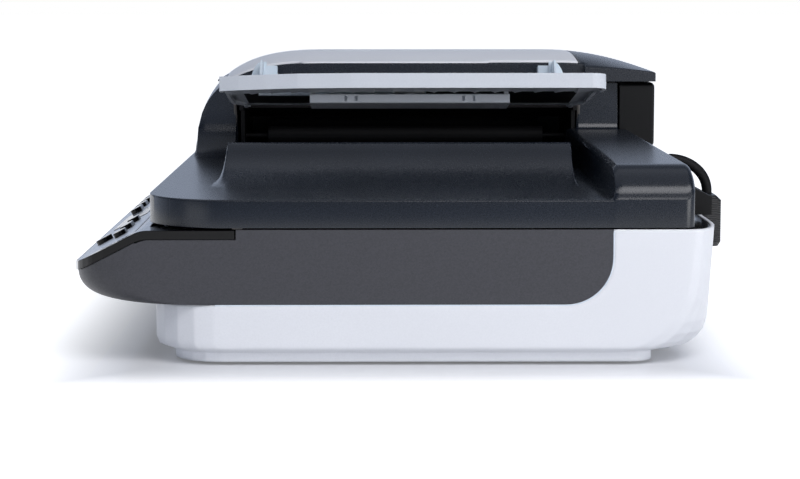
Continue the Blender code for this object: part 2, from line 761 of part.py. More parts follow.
def make_band(finish):
    heights = [BAND_BOTTOM + (NOSE_HEIGHT - BAND_BOTTOM) * share for share in (0.0, 0.06, 0.2, 0.5, 1.0)]
    heights += [BAND_BOTTOM + BAND_REAR_ROUND, CASE_TOP]
    rings = []
    for z in heights:
        outline = rounded(FAR, NEAR, -nose_depth(z), band_rear(z), BAND_CORNER, FIT)
        rings.append(at_height(outline, z))
    band = loft("upper_band", rings, finish)
    side = NEAR - BAND_WALL
    front = -CASE_FRONT + CASE_WALL
    low, high = BAND_BOTTOM - OVERRUN, CASE_TOP + OVERRUN
    cut(band, box("inside", (-side, front, low), (side, BAND_REAR + OVERRUN, high), finish))
    nose_side = NEAR - BAND_CORNER
    nose_floor = BAND_BOTTOM + BAND_WALL * 2
    nose_front = -nose_depth(nose_floor) + BAND_WALL * 2
    nose_low = (-nose_side, nose_front, nose_floor)
    cut(band, box("nose_inside", nose_low, (nose_side, front + OVERRUN, high), finish))
    under = []
    for y in (-NOSE_REACH, panel_corner() - PANEL_BEND, panel_corner(), panel_corner() + PANEL_BEND):
        under.append((y, float(panel_line(y)) - PANEL_THICK - FIT))
    start, end = under[0], under[-1]
    slope = SLOPE_RISE / SLOPE_RUN
    profile = [(start[0] - OVERRUN, start[1] - OVERRUN * slope)] + under
    profile += [(-PANEL_ARM_REAR + FIT, end[1]), (-PANEL_ARM_REAR + FIT, high), (start[0] - OVERRUN, high)]
    cut(band, extrude("panel_seat", profile, "x", -NEAR - OVERRUN, NEAR + OVERRUN, finish))
    return band


def panel_window():
    """Half length and the two depths of the opening under the fascia."""
    front = -NOSE_REACH + SLOPE_RUN * FASCIA_EDGE_MARGIN / SLOPE_LENGTH
    rear = -PANEL_SLOPE_REAR - SLOPE_RUN * FASCIA_EDGE_MARGIN / SLOPE_LENGTH
    return NEAR - FASCIA_SIDE_MARGIN, front, rear


def make_panel_frame(finish):
    half, front, rear = panel_window()
    arm = NEAR - PANEL_ARM_WIDTH
    hole = half - PANEL_LEDGE
    wall = STEEP * HALF
    seat_side, seat_front = half + FIT, front - FIT
    seat_rear = rear + FASCIA_THICK * SLOPE_RISE / SLOPE_LENGTH + FIT
    side_stops = [NEAR, NEAR - FIT * 4, NEAR - BAND_CORNER * HALF, NEAR - BAND_CORNER]
    side_stops += [arm, hole, seat_side, seat_side + wall]
    lines_x = stops(*side_stops, *[-x for x in side_stops], 0.0)
    bends = [panel_corner() + PANEL_BEND * part for part in (-1.0, -HALF, 0.0, HALF, 1.0)]
    seats = [seat_front - wall, seat_front, front + PANEL_LEDGE]
    seats += [rear - PANEL_LEDGE, seat_rear, seat_rear + wall]
    ends = [-NOSE_REACH, -NOSE_REACH + BAND_CORNER * HALF, -NOSE_REACH + BAND_CORNER, -PANEL_ARM_REAR]
    lines_y = stops(*ends, *bends, *seats)

    def top(x, y, flat_x, flat_y):
        seat_depth = FASCIA_THICK + FIT
        along = ramp(flat_y, seat_front - wall, seat_front)
        along = along * (1.0 - ramp(flat_y, seat_rear, seat_rear + wall))
        across = 1.0 - ramp(np.abs(flat_x), seat_side, seat_side + wall)
        return panel_line(y) - seat_depth * along * across

    def bottom(x, y, flat_x, flat_y):
        return panel_line(y) - PANEL_THICK

    def keep(x, y):
        window = (np.abs(x) < hole) & (y > front + PANEL_LEDGE) & (y < rear - PANEL_LEDGE)
        bay = (np.abs(x) < arm) & (y > -PANEL_BACK_EDGE)
        return ~(window | bay)

    def warp(x, y):
        return round_corners(x, y, NEAR, -NOSE_REACH, -PANEL_ARM_REAR, BAND_CORNER, FIT)

    return grid_shell("panel_frame", lines_x, lines_y, top, bottom, keep, warp, finish)


def fascia_outline():
    """The fascia's edge laid flat: a rectangle bent round the panel's front corners."""
    half, front, rear = panel_window()
    turn_x, turn_y = NEAR - BAND_CORNER, -NOSE_REACH + BAND_CORNER
    reach = half - FIT * 2
    side = [(reach, y) for y in (rear, *np.linspace(turn_y, front, CORNER_STEPS))]
    side += [(x, front) for x in np.linspace(reach, turn_x, CORNER_STEPS)[1:]]
    x, y = np.array(side + [(-x, y) for x, y in side[::-1]]).T
    x, y = round_corners(x, y, NEAR, -NOSE_REACH, -PANEL_ARM_REAR, BAND_CORNER, FIT)
    return [(a, (b + NOSE_REACH) * SLOPE_LENGTH / SLOPE_RUN) for a, b in zip(x, y)]


def on_slope(piece):
    """Lays a piece made flat at the panel's front edge onto the panel's slope."""
    turn = Matrix.Rotation(SLOPE_ANGLE, 4, "X")
    piece.data.transform(Matrix.Translation(Vector((0.0, -NOSE_REACH, NOSE_HEIGHT))) @ turn)
    return piece


def button_outline(centre_x, centre_y, width, depth, margin):
    half_x, half_y = width * HALF + margin, depth * HALF + margin
    turn = half_y * BUTTON_TURN_share if width > depth else half_x
    box_ends = (centre_x - half_x, centre_x + half_x, centre_y - half_y, centre_y + half_y)
    return rounded(*box_ends, turn, turn, BUTTON_STEPS)


def button_places():
    """Name, place along X, row and width of every button."""
    low, high = SLOPE_LENGTH * LOW_ROW_share, SLOPE_LENGTH * HIGH_ROW_share
    places = [
        ("power_button", POWER_PLACE, low, ROUND_BUTTON, ROUND_BUTTON),
        ("cancel_button", CANCEL_PLACE, high, NARROW_BUTTON, BAR_BUTTON_DEPTH),
        ("start_button", START_PLACE, high, WIDE_BUTTON, BAR_BUTTON_DEPTH),
        ("menu_button", MENU_PLACE, high, NARROW_BUTTON, BAR_BUTTON_DEPTH),
    ]
    for i in range(TASK_COUNT):
        place = TASK_PLACE - TASK_PITCH * i
        places.append((f"task_button_{i + 1}", place, low, WIDE_BUTTON, BAR_BUTTON_DEPTH))
    return places


def make_panel(finishes):
    """Fascia, display, buttons and their board, laid out flat and then onto the slope."""
    half, front, rear = panel_window()
    low_y = FASCIA_EDGE_MARGIN
    high_y = SLOPE_LENGTH - FASCIA_EDGE_MARGIN
    fascia = extrude("panel_fascia", fascia_outline(), "z", -FASCIA_THICK, 0.0, finishes["silver"])
    made = [fascia]
    for name, x, y, width, depth in button_places():
        hole = button_outline(x, y, width, depth, BUTTON_CLEARANCE)
        cut(fascia, extrude("hole", hole, "z", -FASCIA_THICK - OVERRUN, OVERRUN, finishes["silver"]))
        cap = button_outline(x, y, width, depth, 0.0)
        edge = button_outline(x, y, width, depth, -BUTTON_CLEARANCE)
        rings = [at_height(cap, -BUTTON_SINK), at_height(cap, BUTTON_RISE - BUTTON_CLEARANCE)]
        rings.append(at_height(edge, BUTTON_RISE))
        made.append(loft(name, rings, finishes["gloss"]))
    display_y = SLOPE_LENGTH * DISPLAY_PLACE_share
    display_depth = SLOPE_LENGTH * DISPLAY_DEPTH_share
    outlines = []
    for margin in (FIT, 0.0):
        reach_x, reach_y = DISPLAY_WIDTH * HALF + margin, display_depth * HALF + margin
        ends_x = (DISPLAY_CENTRE - reach_x, DISPLAY_CENTRE + reach_x)
        ends_y = (display_y - reach_y, display_y + reach_y)
        outlines.append(rounded(*ends_x, *ends_y, FASCIA_THICK, FASCIA_THICK))
    seat, glass = outlines
    cut(fascia, extrude("display_hole", seat, "z", -FASCIA_THICK - OVERRUN, OVERRUN, finishes["silver"]))
    made.append(extrude("display_window", glass, "z", -BUTTON_SINK, DISPLAY_RISE, finishes["gloss"]))
    board_side = NEAR - BAND_CORNER - PANEL_LEDGE
    board_front = low_y + PANEL_LEDGE * 3
    board_low = (-board_side, board_front, -PANEL_BOARD_DROP - PANEL_BOARD_THICK)
    board_high = (board_side, high_y - PANEL_LEDGE - FIT, -PANEL_BOARD_DROP)
    board = box("panel_board", board_low, board_high, finishes["board"])
    post_y = (low_y + high_y) * HALF
    for x in (-half * POST_PLACE_share, half * POST_PLACE_share):
        post_low = (x - FASCIA_THICK, post_y, -PANEL_BOARD_DROP - FIT)
        post_high = (x + FASCIA_THICK, post_y + FASCIA_THICK, -FASCIA_THICK - FIT)
        join(board, box("post", post_low, post_high, finishes["board"]))
    made.append(board)
    return [on_slope(piece) for piece in made]


# Glass bed

def make_deck(finish):
    """The plate under the lid that carries the glasses, notched for the panel and the hinge legs."""
    side = NEAR - BAND_WALL - FIT
    arm = NEAR - PANEL_ARM_WIDTH - FIT
    front = -PANEL_BACK_EDGE + FIT
    waist = -PANEL_ARM_REAR + FIT
    rear = CASE_REAR - CASE_WALL - FIT * 2
    outline = [(-arm, front), (arm, front), (arm, waist), (side, waist)]
    outline += rear_corners(side, rear, cheek_rear(DECK_BOTTOM))
    outline += [(-side, waist), (-arm, waist)]
    deck = extrude("bed_frame", outline, "z", DECK_BOTTOM, DECK_TOP, finish)
    for x0, x1, thick in ((BED_FAR, BED_NEAR, GLASS_THICK), (STRIP_FAR, STRIP_NEAR, GLASS_THICK)):
        y0, y1 = PAPER_FRONT - GLASS_MARGIN, PAPER_REAR + GLASS_MARGIN
        seat = DECK_TOP - thick - FIT
        recess = box("recess", (x0 - FIT, y0 - FIT, seat), (x1 + FIT, y1 + FIT, DECK_TOP + OVERRUN), finish)
        low = (x0 + GLASS_LEDGE, y0 + GLASS_LEDGE, DECK_BOTTOM - OVERRUN)
        high = (x1 - GLASS_LEDGE, y1 - GLASS_LEDGE, DECK_TOP + OVERRUN)
        cut(deck, recess, box("view", low, high, finish))
    for place in (-HINGE_PLACE, HINGE_PLACE):
        reach = LEG_WIDTH * HALF + RUNNING
        low = (place - reach, LEG_FRONT - RUNNING, DECK_BOTTOM - OVERRUN)
        high = (place + reach, LEG_FRONT + LEG_THICK + RUNNING, DECK_TOP + OVERRUN)
        cut(deck, box("leg_hole", low, high, finish))
    rule_low, rule_high = rule_box(FIT)
    cut(deck, box("rule_seat", rule_low, (rule_high[0], rule_high[1], DECK_TOP + OVERRUN), finish))
    return deck


def rule_box(margin):
    """The paper rule lies in the deck between the two glasses."""
    middle = (STRIP_NEAR + BED_FAR) * HALF
    low = (middle - RULE_WIDTH * HALF - margin, PAPER_FRONT - margin, DECK_TOP - RULE_THICK - margin)
    high = (middle + RULE_WIDTH * HALF + margin, PAPER_REAR + margin, DECK_TOP)
    return low, high


def make_bed(finishes):
    make_deck(finishes["gloss"])
    y0, y1 = PAPER_FRONT - GLASS_MARGIN, PAPER_REAR + GLASS_MARGIN
    bottom = GLASS_TOP - GLASS_THICK
    box("bed_glass", (BED_FAR, y0, bottom), (BED_NEAR, y1, GLASS_TOP), finishes["glass"])
    box("feeder_glass", (STRIP_FAR, y0, bottom), (STRIP_NEAR, y1, GLASS_TOP), finishes["glass"])
    box("paper_rule", *rule_box(0.0), finishes["white"])


# Carriage and its drive

def make_rod(finishes):
    """The polished rod that guides the carriage, held by a post at each end."""
    start = FAR + CASE_WALL + ROD_END_GAP + ROD_POST * HALF
    end = start + ROD_LENGTH
    centre = (start, CENTRE_DEPTH, ROD_HEIGHT)
    turned("guide_rod", [(ROD_RADIUS, 0.0), (ROD_RADIUS, ROD_LENGTH)], centre, "x", finishes["steel"])
    half = ROD_POST * HALF
    posts = []
    for x in (start, end):
        low = (x - half, CENTRE_DEPTH - half * 2, CASE_FLOOR_TOP + FIT)
        high = (x + half, CENTRE_DEPTH + half * 2, ROD_HEIGHT + ROD_RADIUS + half * HALF)
        posts.append(box("rod_posts", low, high, finishes["black"]))
    idler_x, idler_y = pulley_places()[1]
    foot_low = (start - half, CENTRE_DEPTH, CASE_FLOOR_TOP + FIT)
    foot_high = (idler_x + PULLEY_FLANGE, idler_y + PULLEY_FLANGE, pulley_bottom() - RUNNING)
    foot = box("foot", foot_low, foot_high, finishes["black"])
    pin_top = belt_middle() + BELT_HEIGHT
    pin = turned("pin", [(SHAFT_RADIUS, 0.0), (SHAFT_RADIUS, pin_top - foot_high[2] + OVERRUN * HALF)],
                 (idler_x, idler_y, foot_high[2] - OVERRUN * HALF), "z", finishes["black"], PIN_STEPS)
    join(posts[0], foot, pin)
    bore = [(ROD_RADIUS + FIT, -FIT), (ROD_RADIUS + FIT, ROD_LENGTH + FIT)]
    strip_low = (start, CENTRE_DEPTH - half, CASE_FLOOR_TOP + FIT)
    strip_high = (end, CENTRE_DEPTH + half, CASE_FLOOR_TOP + FIT + BAND_WALL)
    join(posts[0], posts[1], box("strip", strip_low, strip_high, finishes["black"]))
    cut(posts[0], turned("bore", bore, centre, "x", finishes["black"]))
    posts[0].name = "rod_carrier"


def pulley_places():
    """The motor's pulley near the +X end and the idler near the -X end."""
    start = FAR + CASE_WALL + ROD_END_GAP + ROD_POST * HALF
    near = start + ROD_LENGTH - SCAN_MOTOR_RADIUS
    far = start + ROD_POST
    depth = CENTRE_DEPTH + BELT_PLACE
    return (near, depth), (far, depth)


def belt_middle():
    return ROD_HEIGHT - ROD_RADIUS


def pulley_bottom():
    return belt_middle() - BELT_HEIGHT * HALF - PULLEY_FLANGE_THICK - RUNNING


def make_drive(finishes):
    near, far = pulley_places()
    middle = belt_middle()
    waist = BELT_HEIGHT * HALF + RUNNING
    rim = waist + PULLEY_FLANGE_THICK
    profile = [(PULLEY_FLANGE, -rim), (PULLEY_FLANGE, -waist), (PULLEY_RADIUS, -waist)]
    profile += [(PULLEY_RADIUS, waist), (PULLEY_FLANGE, waist), (PULLEY_FLANGE, rim)]
    for name, place in (("drive_pulley", near), ("idler_pulley", far)):
        pulley = ring_body(name, SHAFT_RADIUS + FIT, profile, (*place, middle), "z", finishes["white"])
        about(pulley, (*place, middle))
    inner, outer = PULLEY_RADIUS + FIT, PULLEY_RADIUS + FIT + BELT_THICK
    low, high = middle - BELT_HEIGHT * HALF, middle + BELT_HEIGHT * HALF
    loops = []
    for radius in (outer, inner):
        loop = arc(near, radius, -90, 90, CORNER_STEPS * 2) + arc(far, radius, 90, 270, CORNER_STEPS * 2)
        loops.append(loop)
    rings = [at_height(loops[0], low), at_height(loops[0], high)]
    rings += [at_height(loops[1], high), at_height(loops[1], low)]
    ring_loft("drive_belt", rings, finishes["rubber"])
    top = pulley_bottom() - RUNNING
    bottom = CASE_FLOOR_TOP + FIT
    shoulder = min(top, bottom + SCAN_MOTOR_HEIGHT)
    motor = [(SCAN_MOTOR_RADIUS, bottom), (SCAN_MOTOR_RADIUS, shoulder)]
    motor += [(SHAFT_RADIUS, shoulder), (SHAFT_RADIUS, middle + BELT_HEIGHT)]
    turned("scan_motor", motor, (*near, 0.0), "z", finishes["steel"])


def ring_loft(name, rings, finish):
    """Joins closed rings into a tube of any section that closes on itself."""
    count = len(rings[0])
    corners = [point for ring in rings for point in ring]
    faces = []
    for level in range(len(rings)):
        start, after = level * count, (level + 1) % len(rings) * count
        for i in range(count):
            j = (i + 1) % count
            faces.append([start + i, start + j, after + j, after + i])
    return solid(name, corners, faces, finish)


def make_carriage(finishes):
    """The scan head: an open tray with a bush on the rod, a lamp, a mirror, a lens and a sensor."""
    half = CARRIAGE_LENGTH * HALF
    front, rear = CENTRE_DEPTH - CARRIAGE_WIDTH * HALF, CENTRE_DEPTH + CARRIAGE_WIDTH * HALF
    home = CARRIAGE_HOME
    head_low, head_high = (home - half, front, CARRIAGE_BOTTOM), (home + half, rear, CARRIAGE_TOP)
    head = box("carriage_frame", head_low, head_high, finishes["black"])
    wall = CARRIAGE_WALL
    hollow_low = (home - half + wall, front + wall, CARRIAGE_BOTTOM + wall)
    hollow_high = (home + half - wall, rear - wall, CARRIAGE_TOP + OVERRUN)
    cut(head, box("hollow", hollow_low, hollow_high, finishes["black"]))
    bush_half = ROD_RADIUS * 2
    bush_low = (home - half * HALF, CENTRE_DEPTH - bush_half, ROD_HEIGHT - bush_half + ROD_RADIUS * HALF)
    bush_high = (home + half * HALF, CENTRE_DEPTH + bush_half, CARRIAGE_BOTTOM + wall)
    join(head, box("bush", bush_low, bush_high, finishes["black"]))
    bore = [(ROD_RADIUS + FIT, -half * 2), (ROD_RADIUS + FIT, half * 2)]
    cut(head, turned("bore", bore, (home, CENTRE_DEPTH, ROD_HEIGHT), "x", finishes["black"]))
    run = CENTRE_DEPTH + BELT_PLACE - PULLEY_RADIUS - FIT - BELT_THICK
    tab_low = (home + half * HALF, run - FIT - wall, belt_middle() - BELT_HEIGHT * HALF)
    tab_high = (home + half - wall, run - FIT, CARRIAGE_BOTTOM + wall)
    join(head, box("belt_tab", tab_low, tab_high, finishes["black"]))
    floor = CARRIAGE_BOTTOM + wall + FIT
    inside = (front + wall + FIT, rear - wall - FIT)
    lamp_x = home - half + wall + FIT + LAMP_RADIUS
    lamp_z = CARRIAGE_TOP - LAMP_RADIUS
    lamp = [(LAMP_RADIUS, inside[0]), (LAMP_RADIUS, inside[1])]
    turned("scan_lamp", lamp, (lamp_x, 0.0, lamp_z), "y", finishes["foam"], PIN_STEPS)
    lean = MIRROR_HEIGHT * HALF
    mirror_x = home - half * HALF
    mirror_top = floor + MIRROR_HEIGHT
    profile = [(mirror_x, floor), (mirror_x + MIRROR_THICK, floor)]
    profile += [(mirror_x + MIRROR_THICK - lean, mirror_top), (mirror_x - lean, mirror_top)]
    extrude("scan_mirror", profile, "y", inside[0], inside[1], finishes["steel"])
    lens_x = home - LENS_LENGTH * HALF + half * LENS_PLACE_share
    lens = [(LENS_RADIUS, 0.0), (LENS_RADIUS, LENS_LENGTH)]
    turned("scan_lens", lens, (lens_x, CENTRE_DEPTH, floor + LENS_RADIUS), "x", finishes["glass"])
    sensor_x = home + half - wall - FIT - SENSOR_THICK
    sensor_low = (sensor_x, CENTRE_DEPTH - SENSOR_WIDTH * HALF, floor)
    sensor_high = (sensor_x + SENSOR_THICK, CENTRE_DEPTH + SENSOR_WIDTH * HALF, floor + SENSOR_HEIGHT)
    box("sensor_board", sensor_low, sensor_high, finishes["board"])


# Boards, lead socket and feet

def make_board(finish):
    """The main board stands on four posts at the rear of the +X end."""
    near = NEAR - CASE_WALL - BOARD_NEAR_INSET
    rear = CASE_REAR - CASE_REAR_TAPER - CASE_WALL - BOARD_REAR_INSET
    low = (near - BOARD_LENGTH, rear - BOARD_DEPTH, CASE_FLOOR_TOP + BOARD_STANDOFF)
    high = (near, rear, CASE_FLOOR_TOP + BOARD_STANDOFF + BOARD_THICK)
    board = box("main_board", low, high, finish)
    half = BOARD_STANDOFF * HALF
    for x in (low[0] + BOARD_STANDOFF, high[0] - BOARD_STANDOFF):
        for y in (low[1] + BOARD_STANDOFF, high[1] - BOARD_STANDOFF):
            post = [(half, 0.0), (half, BOARD_STANDOFF + BOARD_THICK * HALF)]
            join(board, turned("post", post, (x, y, CASE_FLOOR_TOP + FIT), "z", finish, PIN_STEPS))
    chip_low = (low[0] + half * 4, low[1] + half * 8, high[2] - BOARD_THICK * HALF)
    chip_high = (high[0] - half * 4, low[1] + half * 16, high[2] + BOARD_THICK)
    return join(board, box("chip", chip_low, chip_high, finish))


def adf_socket_box():
    """The feeder lead's socket goes through the rear wall behind its plug."""
    low_z = PLUG_TOP - PLUG_TALL + (PLUG_TALL - ADF_SOCKET_TALL) * ADF_SOCKET_PLACE_share
    low = (LEAD_PLACE - ADF_SOCKET_WIDTH * HALF, CASE_REAR - CASE_REAR_TAPER - CASE_WALL * 2, low_z)
    high = (LEAD_PLACE + ADF_SOCKET_WIDTH * HALF, PLUG_FRONT - FIT, low_z + ADF_SOCKET_TALL)
    return low, high


def make_feet(finishes):
    low = [(FOOT_RADIUS, 0.0), (FOOT_RADIUS, FOOT_HEIGHT - FIT)]
    tall = [(FOOT_RADIUS, 0.0), (FOOT_RADIUS, CASE_FLOOR - FIT)]
    for end, sign in (("near", 1.0), ("far", -1.0)):
        front = (sign * FRONT_FOOT_PLACE, -FRONT_FOOT_DEPTH, 0.0)
        rear = (sign * REAR_FOOT_PLACE, REAR_FOOT_DEPTH, 0.0)
        turned(f"front_foot_{end}", low, front, "z", finishes["rubber"])
        turned(f"rear_foot_{end}", tall, rear, "z", finishes["white"])


# Lid hinges

def make_hinges(finishes):
    sleeves = []
    axis_y = LID_HINGE_Y
    for end, sign in (("near", 1.0), ("far", -1.0)):
        x = sign * HINGE_PLACE
        half = HINGE_WIDTH * HALF
        profile = [(HINGE_FRONT, HINGE_BOTTOM), (HINGE_REAR, HINGE_BOTTOM)]
        profile += [(HINGE_REAR, HINGE_TOP - HINGE_WALL * 2), (HINGE_FRONT + HINGE_WALL, HINGE_TOP)]
        profile.append((HINGE_FRONT, HINGE_TOP))
        block = extrude(f"hinge_block_{end}", profile, "x", x - half, x + half, finishes["black"])
        fork = HINGE_FORK * HALF
        fork_low = (x - fork, HINGE_FRONT - OVERRUN, HINGE_BOTTOM - OVERRUN)
        fork_high = (x + fork, HINGE_REAR + OVERRUN, HINGE_AXIS_HEIGHT + KNUCKLE_RADIUS + RUNNING)
        cut(block, box("fork", fork_low, fork_high, finishes["black"]))
        reach = fork + HINGE_WALL
        axis = (x, axis_y, HINGE_AXIS_HEIGHT)
        pin = [(HINGE_PIN_RADIUS, -reach), (HINGE_PIN_RADIUS, reach)]
        join(block, turned("pin", pin, axis, "x", finishes["black"], PIN_STEPS))
        width = LEG_WIDTH * HALF
        leg_low = (x - width, LEG_FRONT, HINGE_BOTTOM - LEG_DEPTH)
        leg_high = (x + width, LEG_FRONT + LEG_THICK, HINGE_AXIS_HEIGHT)
        leg = box(f"hinge_leg_{end}", leg_low, leg_high, finishes["black"])
        knuckle = [(KNUCKLE_RADIUS, -width), (KNUCKLE_RADIUS, width)]
        join(leg, turned("knuckle", knuckle, axis, "x", finishes["black"]))
        bore = [(HINGE_PIN_RADIUS + FIT, -width - OVERRUN), (HINGE_PIN_RADIUS + FIT, width + OVERRUN)]
        cut(leg, turned("bore", bore, axis, "x", finishes["black"], PIN_STEPS))
        gap, wall = RUNNING, SLEEVE_WALL
        inner_low = (x - width - gap, LEG_FRONT - gap, leg_low[2] - gap)
        inner_high = (x + width + gap, LEG_FRONT + LEG_THICK + gap, DECK_BOTTOM + OVERRUN)
        outer_low = (inner_low[0] - wall, inner_low[1] - wall, inner_low[2] - wall)
        seat = rear_wall_at(outer_low[2]) - CASE_WALL - FIT
        outer_high = (inner_high[0] + wall, seat, DECK_BOTTOM - FIT)
        sleeve = box("hinge_sleeves", outer_low, outer_high, finishes["white"])
        sleeves.append(cut(sleeve, box("well", inner_low, inner_high, finishes["white"])))
    tie_z = HINGE_BOTTOM - LEG_DEPTH - RUNNING - SLEEVE_WALL
    tie_low = (-HINGE_PLACE, LEG_FRONT - RUNNING - SLEEVE_WALL, tie_z)
    tie_high = (HINGE_PLACE, LEG_FRONT, tie_z + SLEEVE_WALL * HALF)
    join(sleeves[0], sleeves[1], box("tie", tie_low, tie_high, finishes["white"]))
    sleeves[0].name = "hinge_sleeves"


# Lid

def arc_rise(along):
    """A concave foot: flat at 0 and upright at 1."""
    return 1.0 - np.sqrt(np.clip(1.0 - along * along, 0.0, 1.0))


def arc_fall(along):
    """A rounded shoulder: 1 and level at 0, 0 and upright at 1."""
    return np.sqrt(np.clip(1.0 - along * along, 0.0, 1.0))


def border(flat_x, flat_y, front, rear):
    """Distance from a straight grid place to the nearest border."""
    return np.minimum.reduce([NEAR - np.abs(flat_x), flat_y - front, rear - flat_y])


def edge_drop(distance, radius):
    """How far a rounded border lies below the surface inside it."""
    level = np.clip(radius - distance, 0.0, radius)
    return radius - np.sqrt(radius * radius - level * level)


def shoulder(x, y):
    """The feeder's outer form: a crown that falls round to the front, the end and the rear."""
    to_front = np.clip((-y - (FEEDER_FRONT - SHOULDER_RUN)) / SHOULDER_RUN, 0.0, 1.0)
    front = (1.0 - to_front ** SHOULDER_POWER) ** (1.0 / SHOULDER_POWER)
    to_end = np.clip((FAR + CROWN_PLACE - x) / CROWN_PLACE, 0.0, 1.0)
    end = (1.0 - to_end ** END_POWER) ** (1.0 / END_POWER)
    to_mouth = np.clip((x - FAR - CROWN_PLACE) / (FEEDER_LENGTH - CROWN_PLACE), 0.0, None)
    crown = CROWN_HEIGHT - (CROWN_HEIGHT - CROWN_MOUTH) * to_mouth ** 2
    to_rear = np.clip((y - COVER_FALL_START) / (COVER_REAR - COVER_FALL_START), 0.0, None)
    crown = crown - (crown - COVER_REAR_TOP) * to_rear ** 2
    base = LID_DECK
    return base + (crown - base) * front * end


def ramp_form(x, y):
    """The raised output ramp: concave towards +X, a small lip, then a slope down to the feeder."""
    rise = RAMP_TOP - LID_DECK
    near = np.clip((RAMP_FOOT - x) / (RAMP_FOOT - RAMP_CREST - LIP_LENGTH), 0.0, 1.0)
    face = rise * arc_rise(near * RAMP_BOW_share) / float(arc_rise(np.array(RAMP_BOW_share)))
    back = np.clip((RAMP_CREST - x) / (RAMP_CREST - MOUTH), 0.0, 1.0)
    top = RAMP_TOP - LID_DECK - (RAMP_TOP - RAMP_BACK_DEPTH) * back
    height = np.minimum(np.where(x > RAMP_CREST, face, rise), top)
    flare = RAMP_FLARE * (1.0 - height / rise)
    front = ramp(y, -RAMP_FRONT - flare - STEEP, -RAMP_FRONT)
    rear = 1.0 - ramp(y, RAMP_REAR, RAMP_REAR + STEEP)
    return LID_DECK + height * ease(front) * rear * ramp(x, MOUTH - STEEP, MOUTH)


def deck_form(x):
    """The lid's deck: it falls a little towards the +X edge."""
    return LID_DECK - (LID_DECK - LID_EDGE_TOP) * ease(ramp(x, NEAR - LID_DECK_RUN, NEAR))


def rail_form(x, y):
    """The raised rear rail, rolled down at its +X end and rounded at its rear edge."""
    along = np.clip((x - (NEAR - RAIL_ROLL)) / RAIL_ROLL, 0.0, 1.0)
    top = LID_EDGE_TOP + (RAIL_TOP - LID_EDGE_TOP) * arc_fall(along)
    base = deck_form(x)
    back = np.clip((y - (LID_REAR - RAIL_REAR_ROUND)) / RAIL_REAR_ROUND, 0.0, 1.0)
    top = top - RAIL_REAR_ROUND * (1.0 - arc_fall(back))
    return base + (top - base) * ramp(y, RAIL_FRONT, RAIL_FRONT + STEEP)


def pillar_form(x, y):
    """The feeder's front, end and rear walls, with a concave foot towards +X."""
    foot = np.clip((MOUTH + PILLAR_FOOT - x) / PILLAR_FOOT, 0.0, 1.0)
    rise = PILLAR_FOOT * arc_rise(foot)
    wall = np.where(x <= MOUTH + STEEP * HALF, FEEDER_SEAM - LID_DECK, rise)
    from_end = ramp(x, FAR + END_WALL_RUN, FAR + END_WALL_RUN + STEEP * 4)
    end_top = END_WALL_TOP + (FEEDER_SEAM - END_WALL_TOP) * from_end
    wall = np.minimum(LID_DECK + wall, end_top)
    wall = np.minimum(wall, shoulder(x, y))
    front = 1.0 - ramp(y, -BAY_FRONT, -BAY_FRONT + STEEP)
    rear = ramp(y, BAY_REAR - STEEP, BAY_REAR) * (1.0 - ramp(y, FEEDER_REAR, FEEDER_REAR + FIT * 2))
    end = 1.0 - ramp(x, FAR + BAY_END_WALL, FAR + BAY_END_WALL + STEEP)
    inside = np.where((y < FEEDER_REAR + FIT), end, 0.0)
    return LID_BOTTOM + (wall - LID_BOTTOM) * np.maximum.reduce([front, rear, inside])


def lid_surface(x, y, flat_x, flat_y):
    """Height of the lid's outer surface."""
    step = MOUTH + SIDE_COVER_STEP
    over_side = (1.0 - ramp(x, step, step + STEEP)) * ramp(y, FEEDER_REAR, FEEDER_REAR + FIT * 2)
    in_bay = (1.0 - ramp(x, MOUTH - STEEP, MOUTH)) * (1.0 - ramp(y, BAY_REAR - STEEP, BAY_REAR))
    rail = rail_form(x, y) * (1.0 - over_side) + (SIDE_COVER_BOTTOM - FIT) * over_side
    rail = rail * (1.0 - in_bay) + LID_DECK * in_bay
    form = np.maximum.reduce([deck_form(x), rail, ramp_form(x, y)])
    drop = edge_drop(border(flat_x, flat_y, -LID_FRONT, LID_REAR), LID_EDGE_ROUND)
    return np.maximum(form - drop, pillar_form(x, y))


def lid_under(x, y, flat_x, flat_y):
    """Height of the lid's inner surface: the outer one, a wall lower and a wall further in."""
    lowest = lid_surface(x, y, flat_x, flat_y)
    for move_x in (-LID_WALL, 0.0, LID_WALL):
        for move_y in (-LID_WALL, 0.0, LID_WALL):
            beside = lid_surface(x + move_x, y + move_y, flat_x, flat_y)
            lowest = np.minimum(lowest, beside)
    inside = border(flat_x, flat_y, -LID_FRONT, LID_REAR) > LID_WALL * 1.01
    return np.where(inside, lowest - LID_WALL, LID_BOTTOM)


